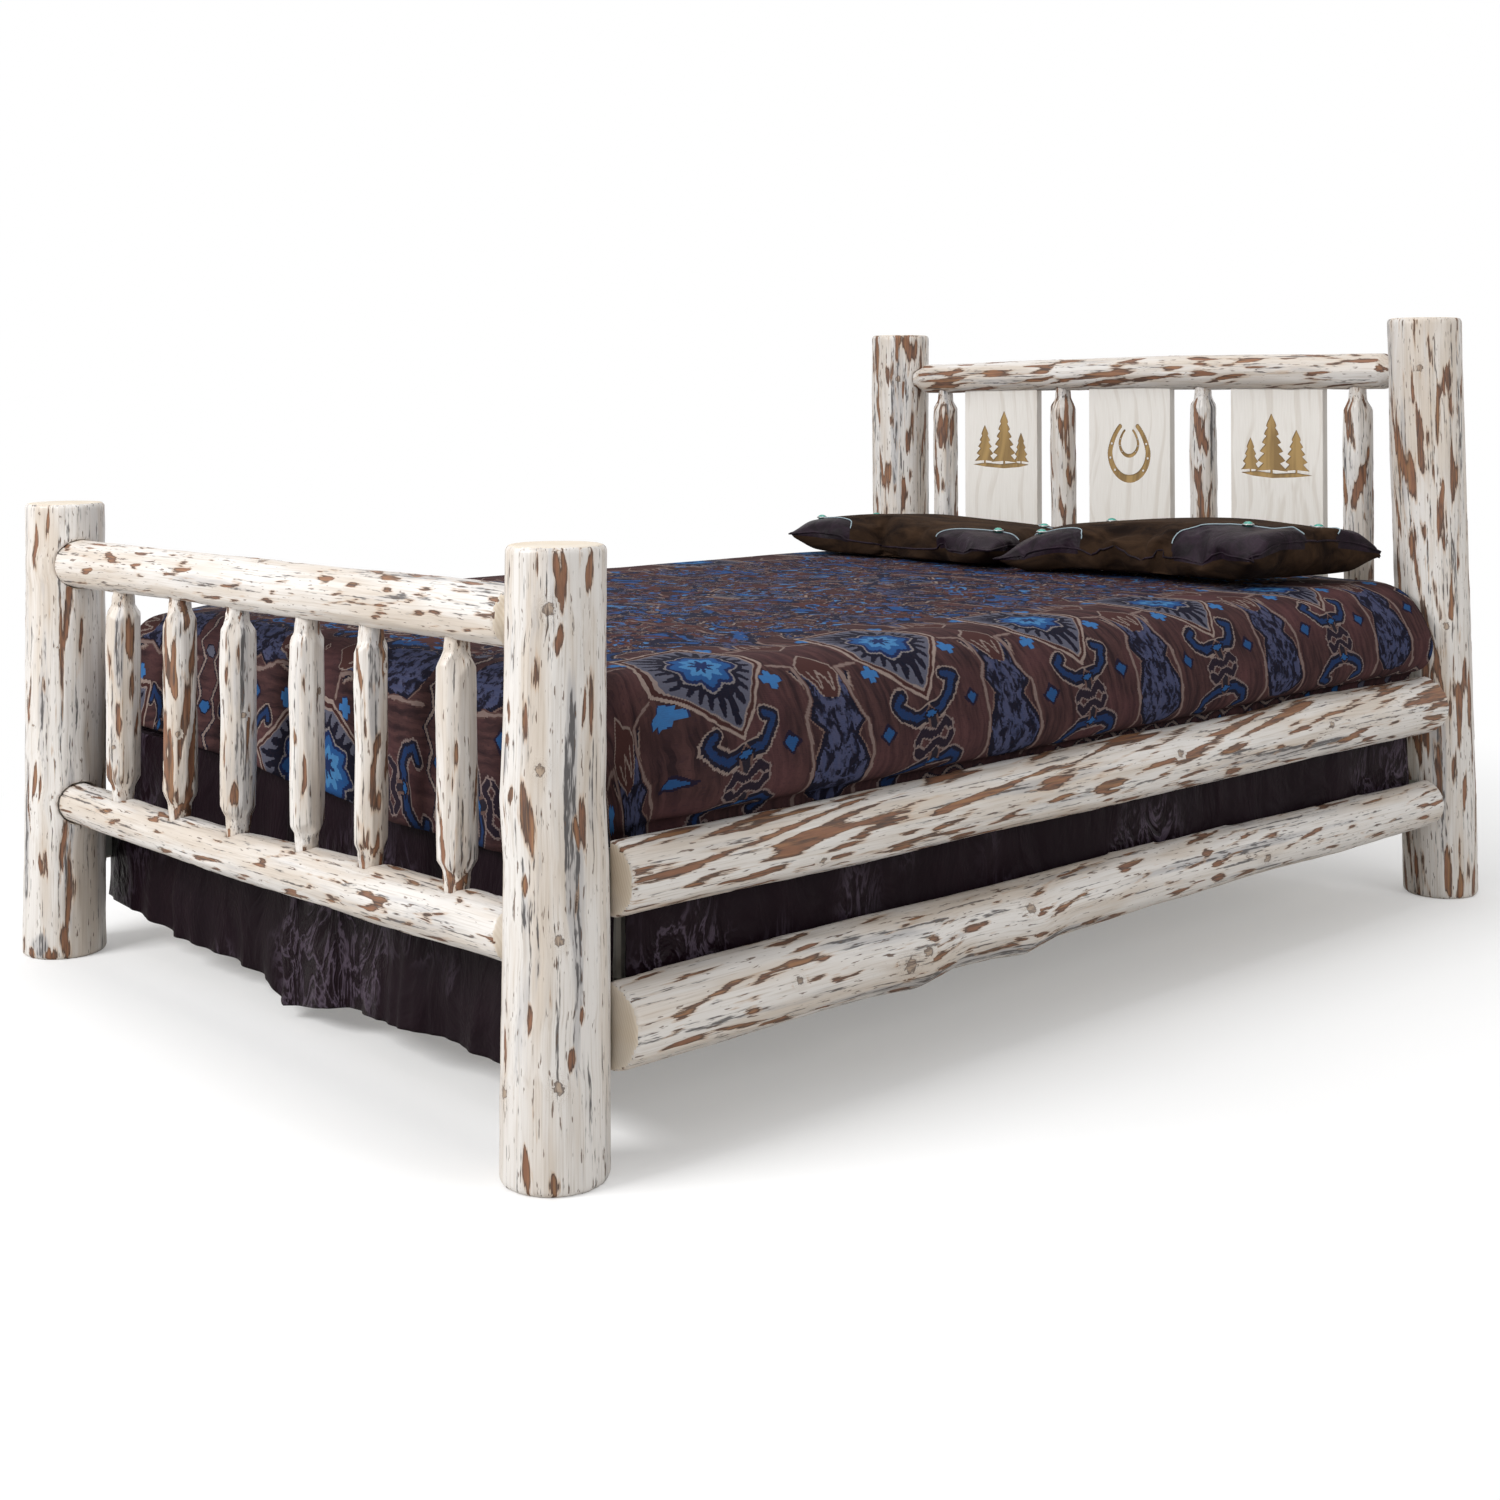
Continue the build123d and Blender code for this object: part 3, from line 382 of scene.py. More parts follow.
bark = wash(pine, bark, "#38241B", edge, 0.03, 0.19, 0, 0.9)
barked = add(pine, "MapRange", {
    "Value": edge, "From Min": -0.02, "From Max": 0.045, "To Max": 0.94,
}, interpolation_type="SMOOTHSTEP")
skin = add(pine, "Mix", {"Factor": barked, "A": sapwood, "B": bark}, data_type="RGBA")

# a knot: fibres bent round it, a mottled brown heart, and a broken dark ring
ragged = add(pine, "TexNoise", {"Vector": grain, "Scale": 160, "Detail": 2, "Roughness": 0.6})
ragged = add(pine, "MapRange", {
    "Value": ragged, "From Min": 0.3, "From Max": 0.7, "To Min": -0.09, "To Max": 0.09,
})
knot_field = add(pine, "Math", (knot_field, ragged), operation="ADD")
eye = add(pine, "Math", (knot_field, 70), operation="MULTIPLY")
eye = add(pine, "Math", (eye,), operation="SINE")
eye = add(pine, "MapRange", {"Value": eye, "To Max": 0.4})
near_knot = add(pine, "MapRange", {"Value": knot_field, "From Min": 0.1, "From Max": 0.7})
eye = add(pine, "Math", (eye, near_knot), operation="MULTIPLY")
skin = add(pine, "Mix", {"Factor": eye, "A": skin, "B": "#9A8672"}, data_type="RGBA")
heart_tone = wash(pine, "#A58F7A", "#5A4536", nick, 0.42, 0.56, ease="LINEAR")
skin = wash(pine, skin, heart_tone, knot_field, 0.72, 0.8, 0.85)
off_ring = add(pine, "Math", (knot_field, 0.75), operation="SUBTRACT")
off_ring = add(pine, "Math", (off_ring,), operation="ABSOLUTE")
skin = wash(pine, skin, "#4A3A30", off_ring, 0, 0.07, 0, 0.75)

satin = add(pine, "MapRange", {"Value": barked, "To Min": 0.42, "To Max": 0.68})
relief = add(pine, "Math", (crust, barked), operation="MULTIPLY")
relief = add(pine, "Math", (fibre, 0.3, relief), operation="MULTIPLY_ADD")
finish(pine, skin, satin, relief, 0.0012, 0.7, {
    "IOR": 1.5, "Coat Weight": 0.12, "Coat Roughness": 0.3,
})

# Sawn pine end: year rings round the pith and open pores, unpolished
pine_end = new_material("sawn_pine_end_grain")
grain = add(pine_end, "Attribute", attribute_name="grain").outputs["Vector"]
wobble = add(pine_end, "TexNoise", {"Vector": grain, "Scale": 14, "Detail": 2})
year = add(pine_end, "TexWave", {
    "Vector": grain, "Scale": 62, "Distortion": 2.2, "Detail": 2, "Detail Scale": 0.4,
}, wave_type="RINGS", rings_direction="Z")
pores = add(pine_end, "TexNoise", {"Vector": grain, "Scale": 900, "Detail": 2, "Roughness": 0.6})
tone = add(pine_end, "Mix", {"Factor": year, "A": "#DACDBB", "B": "#D0C1AC"}, data_type="RGBA")
tone = wash(pine_end, tone, "#E2DCD3", wobble, 0.4, 0.7, 0.5, ease="LINEAR")
finish(pine_end, tone, 0.62, pores, 0.0004, 0.7, {"IOR": 1.5})


def peeled_log(node, piece_name, axis, voxel, steep=None, **work):
    """A CAD node's log, worked over and dressed. Faces that look along it more steeply than
    a limit are sawn ends."""
    log = even_copy(node, piece_name, voxel)
    shave(log, axis, **work)
    log.data.materials.append(pine)
    if steep:
        log.data.materials.append(pine_end)
        for face in log.data.polygons:
            face.material_index = 1 if abs(face.normal[axis]) > steep else 0
    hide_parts(node)
    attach(log, "bed")


NEAR_VOXEL, FAR_VOXEL = 0.004, 0.0046
POST_WORK = {
    # the near post is the cleanest log: its few strips and knots are set one by one
    "foot_post_right": dict(
        seed=1, flats=14, bark=0.85, patches=(
            (-36, 812, 5.5, 26), (-27, 810, 4, 34), (-31, 782, 9, 34), (4, 800, 7, 26),
            (10, 815, 3, 30), (-33, 718, 6, 24), (-58, 815, 1.6, 26), (-98, 622, 5, 20),
            (-70, 610, 4.5, 34), (-101, 585, 7, 12), (8, 636, 5, 52), (-2, 632, 3, 40),
            (-66, 487, 12, 50), (-88, 515, 5, 14), (-4, 484, 6, 42), (-12, 470, 5, 24),
            (-72, 400, 6, 17), (-12, 380, 2.5, 30), (-64, 230, 4, 27), (-102, 180, 5, 36),
            (-17, 176, 6, 18), (-8, 232, 3, 16), (-67, 32, 6, 34), (-38, 16, 7, 20),
            (45, 700, 6, 60), (70, 300, 7, 70), (150, 520, 8, 60), (-150, 420, 7, 50),
            (110, 120, 6, 40), (-130, 720, 5, 40), (170, 200, 6, 50),
        ), knots=(
            (-45, 758, 7), (-51, 550, 6), (-34, 331, 5.5), (-33, 142, 6.5), (-102, 126, 6.5),
            (95, 430, 9), (-160, 610, 8),
        ), greys=(
            (-18, 560, 12, 150), (-16, 420, 16, 230), (-12, 250, 10, 150), (100, 400, 16, 200),
            (-104, 560, 9, 40), (-170, 300, 14, 180),
        ),
    ),
    "foot_post_left": dict(
        seed=2, flats=13, bark=0.62, patches=(
            (-70, 755, 7, 45), (-50, 800, 4, 30), (-20, 650, 7, 90), (-30, 560, 4, 110),
            (-88, 480, 4, 60), (-98, 470, 3, 50), (-72, 330, 6, 40), (-86, 300, 3, 80),
            (-25, 210, 5, 70), (-18, 120, 6, 90), (-60, 180, 3, 26), (-98, 20, 6, 24),
            (-75, 10, 8, 14), (-45, 8, 9, 14), (-22, 30, 8, 40), (60, 400, 8, 90),
            (140, 200, 7, 60), (180, 600, 7, 70),
        ), knots=(
            (-62, 820, 2.6), (-30, 815, 2.4), (-66, 590, 2.4), (-36, 575, 2.2), (-76, 430, 2.4),
            (-78, 275, 2.2), (-40, 300, 2.4), (130, 300, 9),
        ), greys=(
            (-30, 420, 7, 160), (-18, 200, 14, 200), (-90, 250, 12, 200), (-60, 25, 30, 34),
            (120, 500, 16, 200),
        ),
    ),
    "head_post_right": dict(
        seed=3, flats=12, bark=0.27, strip=(0.014, 0.2),
        knots=((-70, 1090, 6.5), (-40, 560, 6), (-95, 420, 7), (60, 800, 9)),
        greys=((-60, 300, 20, 200), (-100, 900, 12, 200)),
    ),
    "head_post_left": dict(
        seed=4, flats=12, bark=0.28, strip=(0.014, 0.19),
        knots=((-50, 1080, 6.5), (-80, 700, 6), (120, 500, 9)),
        greys=((-60, 900, 16, 200),),
    ),
}
for node, work in POST_WORK.items():
    voxel = NEAR_VOXEL if "foot" in node else FAR_VOXEL
    peeled_log(node, node + "_log", Z, voxel, steep=0.85, **work)


# ---- Cross rails of the two boards ----
# Lighter pine logs of 80 to 90 mm with a 50 mm round tenon at each end. The left ends of the
# footboard's rails are let into the post whole; the other ends are sawn to a short cone.

RAIL_WORK = {
    "footboard_top_rail": (0.6, dict(
        seed=11, flats=10, bark=0.4, strip=(0.012, 0.09), patches=(
            (-75, -330, 7, 30), (-48, -520, 6, 26), (-66, -610, 5, 34), (-50, -700, 7, 30),
            (-30, -690, 4, 24), (-60, -190, 6, 26), (-120, -230, 5, 34), (-70, 150, 4, 40),
            (-38, 300, 6, 26), (-60, 420, 7, 24), (-100, 560, 5, 40), (-44, -60, 4, 20),
        ), knots=((-85, -310, 5.5), (-40, 170, 3), (-80, 520, 4), (100, 0, 8)),
        greys=(
            (-95, -320, 12, 110), (-40, -150, 9, 200), (-60, 250, 10, 260), (-30, 560, 10, 160),
            (-110, 100, 9, 300), (-60, -600, 8, 130), (-72, 60, 16, 130), (-88, 330, 15, 170),
            (-48, 440, 13, 130),
        ),
    )),
    "footboard_bottom_rail": (0.6, dict(
        seed=12, flats=10, bark=0.43, strip=(0.012, 0.08), patches=(
            (-62, -120, 6, 22), (-40, -230, 4, 28), (-75, 240, 7, 26), (-40, 380, 7, 34),
            (-80, 470, 5, 22), (-60, 560, 4, 30), (-30, 90, 4, 26),
        ), knots=((-62, -560, 5.5), (-40, 130, 3), (-70, -60, 5)),
        greys=(
            (-40, -560, 11, 160), (-55, -200, 12, 240), (-45, 200, 12, 260), (-60, 520, 14, 200),
            (-95, 0, 9, 400), (-72, 340, 18, 190), (-50, -360, 15, 150), (-84, 560, 16, 140),
        ),
    )),
    "headboard_top_rail": (0.8, dict(
        seed=13, flats=10, bark=0.22, strip=(0.012, 0.17),
        knots=((-60, -300, 5), (-80, 350, 5)), greys=((-60, 0, 12, 400),),
    )),
    "headboard_bottom_rail": (0.8, dict(
        seed=14, flats=10, bark=0.32, strip=(0.014, 0.14),
    )),
}
for node, (steep, work) in RAIL_WORK.items():
    low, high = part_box(node)

    def slimmed(turn, along, skin):
        """The left ends of the footboard's rails are drawn in a little before the post."""
        return skin * (0.8 + 0.24 * smoothstep(along, low.x + 0.02, low.x + 0.085))

    at_foot = "footboard" in node
    peeled_log(
        node, node + "_log", X, NEAR_VOXEL if at_foot else FAR_VOXEL, steep,
        whittled=slimmed if at_foot else None, **work,
    )


# ---- Side rails ----
# Pine logs of 115 to 120 mm ripped down the middle, flat side in, with their sawn ends eased.
# The lower ones keep the swellings and dark cracks where whorls of branches grew.

SIDE_WORK = {
    "side_rail_upper_right": dict(
        seed=21, flats=16, bark=0.2, strip=(0.012, 0.2),
        knots=((-30, -700, 5), (20, 150, 6), (10, 620, 6)),
        greys=((20, -300, 14, 300), (-20, 500, 14, 300)),
    ),
    "side_rail_lower_right": dict(
        seed=22, flats=15, bark=0.42, strip=(0.012, 0.11), patches=(
            (-5, -470, 6, 24), (-30, -445, 5, 30), (-50, -455, 7, 34), (20, -480, 5, 16),
            (15, -240, 5, 26), (-20, -225, 6, 22), (-48, -215, 7, 30), (30, 240, 8, 18),
            (5, 262, 6, 24), (-25, 270, 8, 26), (-30, -870, 5, 46), (-10, -850, 5, 22),
        ), knots=((-8, -535, 10), (6, -498, 7), (25, -250, 7), (-12, 420, 8), (12, -760, 5)),
        greys=((-40, -300, 14, 500), (20, 300, 12, 400)),
    ),
    "side_rail_upper_left": dict(
        seed=23, flats=16, bark=0.24, strip=(0.012, 0.19), knots=((160, 300, 7),),
    ),
    "side_rail_lower_left": dict(
        seed=24, flats=15, bark=0.34, strip=(0.013, 0.12),
        knots=((190, 500, 10), (170, 230, 8), (185, -400, 8)),
    ),
}
SIDE_VOXEL = 0.0042
for node, work in SIDE_WORK.items():
    low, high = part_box(node)
    flat_side = low.x if low.x > 0 else high.x
    peeled_log(node, node + "_log", Y, SIDE_VOXEL, steep=0.85, half_at=flat_side, **work)


# ---- Spindles ----
# Peeled saplings of about 60 mm. Their ends are whittled down to a 36 mm tenon with a few
# flat strokes of a knife, which bite up into the round in pointed scallops.

SEAT = 0.029
TENON_RADIUS, SHOULDER_RADIUS = 0.0178, 0.0186
UNCUT = 1.0
FOOTBOARD_BARK = (0.3, 0.16, 0.45, 0.5, 0.26, 0.42)

for count, board_name, voxel in ((6, "footboard", 0.003), (4, "headboard", 0.0034)):
    for i in range(count):
        node = f"{board_name}_spindle_{i + 1}"
        low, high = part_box(node)
        strokes = 7 + i % 2
        seed = 31 + i + (10 if board_name == "headboard" else 0)

        def whittled(turn, along, skin):
            """How far out the knife's strokes leave the wood, round and along a spindle."""
            reach = np.full(len(turn), UNCUT)
            for end, foot in ((-1, low.z + SEAT), (1, high.z - SEAT)):
                up = np.maximum((along - foot) * -end, 0)
                for k in range(strokes):
                    at = (k + 0.5 * (end > 0)) * 2 * pi / strokes + seed
                    neck = TENON_RADIUS + 0.0008 * sin(seed * 3.1 + k * 2.3 + end) + 0.05 * up
                    start = 0.019 + 0.004 * sin(seed * 1.3 + k * 3.7 + end)
                    slope = 0.52 + 0.12 * sin(seed * 1.7 + k * 4.1 + end * 2)
                    shoulder = SHOULDER_RADIUS + slope * (up - start)
                    facing = np.cos(turn - at)
                    plane = np.maximum(neck, shoulder) / np.maximum(facing, 0.2)
                    plane[facing < 0.2] = UNCUT
                    plane[(along - foot) * -end < -0.002] = UNCUT
                    reach = np.minimum(reach, plane)
            return reach

        peeled_log(
            node, node + "_sapling", Z, voxel, seed=seed, flats=9 + i % 3, flat_depth=0.8,
            lump=0.0018, bark=FOOTBOARD_BARK[i] if board_name == "footboard" else 0.26,
            strip=(0.012, 0.11), knots=((-60 + 25 * i, 1000 * (low.z + 0.12 + 0.05 * i), 4),),
            greys=((-40 + 17 * (i % 3), 1000 * high.z - 110, 12, 120),) if i % 2 == 0 else (),
            whittled=whittled,
        )


# ---- Headboard panels ----
# Planed pine boards let into the rails between the spindles, whitewashed and lacquered, each
# with a figure burnt 1.5 mm into its front: three conifers on the outer boards and a small
# horseshoe hung in a large one on the middle board.

board = new_material("whitewashed_pine_board")
place = add(board, "TexCoord").outputs["Object"]
figure_field = add(board, "Attribute", attribute_name="figure").outputs["Fac"]
bend = add(board, "TexNoise", {"Vector": place, "Scale": 3.5, "Detail": 1})
bent = add(board, "MixRGB", (0.06, place, bend.outputs["Color"]), blend_type="LINEAR_LIGHT")
rings = drawn_out(board, bent, (62, 30, 1.7), 2, 0.45)
fibre = drawn_out(board, place, (900, 900, 22), 2)
tone = wash(board, "#F0ECE6", "#DAD2C8", rings, 0.5, 0.66, 0.6)
tone = wash(board, tone, "#C4BBAE", fibre, 0.35, 0.75, 0.22, ease="LINEAR")
scorch = wash(board, "#8A6E42", "#B0905A", rings, 0.38, 0.62, ease="LINEAR")
scorch = wash(board, scorch, "#6A4B26", figure_field, 0, 0.002, 0, 0.7, ease="LINEAR")
burnt = add(board, "MapRange", {"Value": figure_field, "From Min": -0.0002, "From Max": 0.0002})
tone = add(board, "Mix", {"Factor": burnt, "A": tone, "B": scorch}, data_type="RGBA")
sheen = add(board, "MapRange", {"Value": burnt, "To Min": 0.45, "To Max": 0.6})
finish(board, tone, sheen, rings, 0.0004, 0.5, {"IOR": 1.5})


def inside_of(corners, a, b):
    """How deep inside a closed outline points lie, negative outside."""
    corners = np.array(corners)
    depth, odd = np.full(len(a), 1.0), np.zeros(len(a), bool)
    for (x0, z0), (x1, z1) in zip(corners, np.roll(corners, -1, axis=0)):
        run, rise = x1 - x0, z1 - z0
        t = np.clip(((a - x0) * run + (b - z0) * rise) / (run * run + rise * rise), 0, 1)
        depth = np.minimum(depth, np.hypot(a - x0 - t * run, b - z0 - t * rise))
        if z0 != z1:
            odd ^= ((z0 > b) != (z1 > b)) & (a < x0 + (b - z0) / rise * run)
    return np.where(odd, depth, -depth)


def conifer(foot_x, foot_z, height, spread, tiers):
    """The outline of a pine with drooping, pointed tiers."""
    right = [(0.035 * spread, 0), (0.035 * spread, 0.09 * height)]
    for tier in range(tiers):
        low = 0.09 + 0.86 * (tier / tiers) ** 0.9
        high = 0.09 + 0.86 * ((tier + 1) / tiers) ** 0.9
        reach = 0.5 * spread * (1 - 0.93 * low) ** 0.85
        right += [
            (reach, (low - 0.025) * height), (reach * 0.8, (low + 0.03) * height),
            (reach * 0.52, (low + 0.6 * (high - low)) * height),
        ]
    right.append((0, height))
    left = [(-x, z) for x, z in right[-2::-1]]
    return [(foot_x + x, foot_z + z) for x, z in right + left]


def horseshoe(a, b, centre_z, half):
    """How deep inside a horseshoe points lie: a tapering iron, heels up, nail holes left."""
    turn = np.radians(np.linspace(-238, 58, 60))
    pull = np.clip(np.sin(turn), 0, 1)
    line_x = half * np.cos(turn) * (1 - 0.16 * pull)
    line_z = centre_z + half * 1.12 * np.sin(turn) * (1 + 0.18 * pull)
    away = np.hypot(a[:, None] - line_x, b[:, None] - line_z)
    near = away.argmin(axis=1)
    width = half * (0.17 - 0.07 * np.abs(near - 29.5) / 30)
    depth = width - away.min(axis=1)
    for nail in (8, 14, 20, 39, 45, 51):
        hole = np.hypot(a - line_x[nail], b - line_z[nail])
        depth = np.minimum(depth, hole - 0.05 * half)
    return depth


BURN_DEPTH, FIGURE_LIMIT = 0.0015, 0.004
FIGURE_HALF_WIDTH, FIGURE_HALF_HEIGHT = 0.102, 0.079
CONIFERS = (
    (-0.052, -0.062, 0.098, 0.074, 5), (0.012, -0.066, 0.138, 0.092, 6),
    (0.067, -0.06, 0.078, 0.056, 4),
)
GROUND = (
    (-0.094, -0.064), (-0.05, -0.059), (0.0, -0.062), (0.05, -0.057), (0.094, -0.061),
    (0.06, -0.068), (0.01, -0.072), (-0.05, -0.069),
)
# the height of each figure's middle, and which way round the conifers stand
PANEL_FIGURES = {
    "headboard_panel_left": (0.925, 1),
    "headboard_panel_centre": (0.9, 0),
    "headboard_panel_right": (0.922, -1),
}
for node, (middle_z, turned) in PANEL_FIGURES.items():
    low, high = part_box(node)
    middle_x = (low.x + high.x) / 2
    xs, zs = (
        np.concatenate([[start], np.linspace(middle - half, middle + half, count), [end]])
        for start, end, middle, half, count in (
            (low.x, high.x, middle_x, FIGURE_HALF_WIDTH, 165),
            (low.z, high.z, middle_z, FIGURE_HALF_HEIGHT, 129),
        )
    )
    bpy.ops.object.select_all(action="DESELECT")
    bpy.ops.mesh.primitive_grid_add(x_subdivisions=len(xs) - 1, y_subdivisions=len(zs) - 1, size=2)
    panel = bpy.context.object
    panel.name = node + "_board"
    rows = points(panel)
    across = np.rint((rows[:, X] + 1) / 2 * (len(xs) - 1)).astype(int)
    up = np.rint((rows[:, Y] + 1) / 2 * (len(zs) - 1)).astype(int)
    keep_points(panel, np.stack([xs[across], np.full(len(rows), low.y), zs[up]], axis=1))
    work_in(panel, "SOLIDIFY", thickness=high.y - low.y, offset=-1)
    work_in(panel, "BEVEL", width=0.0015, segments=2, limit_method="ANGLE")
    rows = points(panel)
    a, b = rows[:, X] - middle_x, rows[:, Z] - middle_z
    if turned:
        a = a * turned
        outlines = [conifer(*tree) for tree in CONIFERS] + [GROUND]
        figure = np.maximum.reduce([inside_of(outline, a, b) for outline in outlines])
    else:
        figure = np.maximum(horseshoe(a, b, 0.0, 0.056), horseshoe(a, b, 0.022, 0.027))
    on_front = rows[:, Y] < low.y + 0.001
    figure = np.where(on_front, np.clip(figure, -FIGURE_LIMIT, FIGURE_LIMIT), -FIGURE_LIMIT)
    rows[:, Y] += BURN_DEPTH * smoothstep(figure, -0.0003, 0.001)
    keep_points(panel, rows)
    keep_attribute(panel, "figure", figure)
    panel.data.materials.append(board)
    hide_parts(node)
    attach(panel, "bed")


# ---- Steel angles and screws ----
# Angles of 5 mm steel hold the side rails to the posts, with hexagon lag screws; the slats,
# ledgers and legs have countersunk wood screws. All of it is zinc-plated and a little dull.

zinc = new_material("zinc_plated_steel")
place = add(zinc, "TexCoord").outputs["Object"]
spangle = add(zinc, "TexVoronoi", {"Vector": place, "Scale": 160})
handled = add(zinc, "TexNoise", {"Vector": place, "Scale": 45, "Detail": 4})
tone = add(zinc, "Mix", {"Factor": handled, "A": "#B9BBB8", "B": "#94968F"}, data_type="RGBA")
dull = add(zinc, "MapRange", {"Value": spangle, "From Max": 0.6, "To Min": 0.3, "To Max": 0.5})
finish(zinc, tone, dull, handled, 0.0002, 0.4, {"Metallic": 1})


def coat(nodes, material):
    """Gives CAD nodes that are shown as they are their material."""
    for node in nodes:
        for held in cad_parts[node].material_slots:
            held.material = material


coat([
    f"rail_angle_{end}_{level}_{side}"
    for end in ("foot", "head") for level in ("upper", "lower") for side in ("left", "right")
], zinc)
coat(["post_lag_screws", "rail_lag_screws", "ledger_screws", "slat_screws", "leg_screws"], zinc)


# ---- Ledgers, slats, centre beam and legs ----
# Sawn, unfinished pine from a builder's merchant, yellower than the peeled logs, with straight
# grain along each piece and the fine ridges of the saw across it.

SAWN_PIECES = {
    "x": [f"slat_{i}" for i in (1, 2, 3, 4, 5)],
    "y": ["ledger_left", "ledger_right", "centre_beam"],
    "z": ["centre_leg_1", "centre_leg_2", "centre_leg_3"],
}
for grain_axis, nodes in SAWN_PIECES.items():
    sawn_pine = new_material("sawn_pine_along_" + grain_axis)
    place = add(sawn_pine, "TexCoord").outputs["Object"]
    rings, kerf = (
        drawn_out(sawn_pine, place, tuple(
            along if axis == grain_axis else across for axis in "xyz"
        ), detail)
        for along, across, detail in ((2.2, 85, 3), (420, 8, 2))
    )
    tone = wash(sawn_pine, "#DCC7A0", "#B98F5C", rings, 0.42, 0.64)
    rough_sawn = add(sawn_pine, "Math", (kerf, rings), operation="ADD")
    finish(sawn_pine, tone, 0.72, rough_sawn, 0.0006, 0.7, {"IOR": 1.5})
    coat(nodes, sawn_pine)


# ---- Box spring and mattress ----
# Both are covered in a cream ticking quilted in diamonds, with a sewn tape edge round the top
# and bottom panel. Little of them shows but their head ends, and all when they are lifted off.

ticking = new_material("quilted_cream_ticking")
panel_place = add(ticking, "Attribute", attribute_name="panel").outputs["Vector"]
turned_way = add(ticking, "Mapping", {
    "Vector": panel_place, "Rotation": (0, 0, pi / 4), "Scale": (9, 9, 9),
})
one, other = (
    add(ticking, "TexWave", {"Vector": turned_way, "Scale": 0.5}, bands_direction=axis)
    for axis in "XY"
)
quilted = add(ticking, "Math", (one, other), operation="MULTIPLY")
quilted = add(ticking, "Math", (quilted, 0.4), operation="POWER")
stripe = add(ticking, "TexWave", {"Vector": panel_place, "Scale": 22}, bands_direction="X")
thread = drawn_out(ticking, panel_place, (1400, 500, 1), 1)
tone = wash(ticking, "#DDD8CC", "#A9A79F", stripe, 0.75, 0.9, 0.45, ease="LINEAR")
# painted shade: the stitched grooves of the quilting, where the bump sinks, are darkened
tone = wash(ticking, tone, "#8D8778", quilted, 0, 0.35, 0, 0.35, ease="LINEAR")
puffed = add(ticking, "Math", (thread, 0.04, quilted), operation="MULTIPLY_ADD")
finish(ticking, tone, 0.85, puffed, 0.006, 0.9, {"Sheen Weight": 0.2})

edge_tape = new_material("woven_edge_tape")
place = add(edge_tape, "TexCoord").outputs["Object"]
ribs = add(edge_tape, "TexNoise", {"Vector": place, "Scale": 900, "Detail": 1})
tone = add(edge_tape, "Mix", {"Factor": ribs, "A": "#C8C1B2", "B": "#9C9586"}, data_type="RGBA")
finish(edge_tape, tone, 0.8, ribs, 0.0005)


def piping(name, path, radius, material, cyclic=True):
    """A round cord sewn along a seam, as a mesh."""
    line = bpy.data.curves.new(name, "CURVE")
    line.dimensions = "3D"
    line.bevel_depth = radius
    line.bevel_resolution = 2
    stitched = line.splines.new("POLY")
    stitched.points.add(len(path) - 1)
    for point, place in zip(stitched.points, path):
        point.co = (*place, 1)
    stitched.use_cyclic_u = cyclic
    line.use_fill_caps = not cyclic
    cord = bpy.data.objects.new(name, line)
    bpy.context.scene.collection.objects.link(cord)
    pick(cord)
    bpy.ops.object.convert(target="MESH")
    bpy.ops.object.shade_smooth()
    cord.data.materials.clear()
    cord.data.materials.append(material)
    return cord


def join_to(piece, others):
    """Joins other meshes into a piece."""
    pick(piece)
    for other in others:
        other.select_set(True)
    bpy.ops.object.join()


FOOT_EDGE = -1.0165
MATTRESS_HALF, MATTRESS_FOOT = 0.762, 1.016


def lifted(x, y, seed):
    """Soft waves of the top of the bedspread, in metres."""
    small = noise_at(x / 0.07 + y / 0.3, y / 0.16, seed + 4)
    return 0.0055 * noise_at(x / 0.34, y / 0.42, seed) + 0.0014 * small


def sunken(x, y):
    """How far the top lies lower towards the foot and at its two foot corners."""
    foot = smoothstep(FOOT_EDGE + 0.2 - y, 0, 0.2)
    left = smoothstep(-x, 0.42, 0.76) * smoothstep(FOOT_EDGE + 0.34 - y, 0, 0.34)
    right = smoothstep(x, 0.6, 0.76) * foot
    return 0.006 * foot + 0.026 * left + 0.006 * right


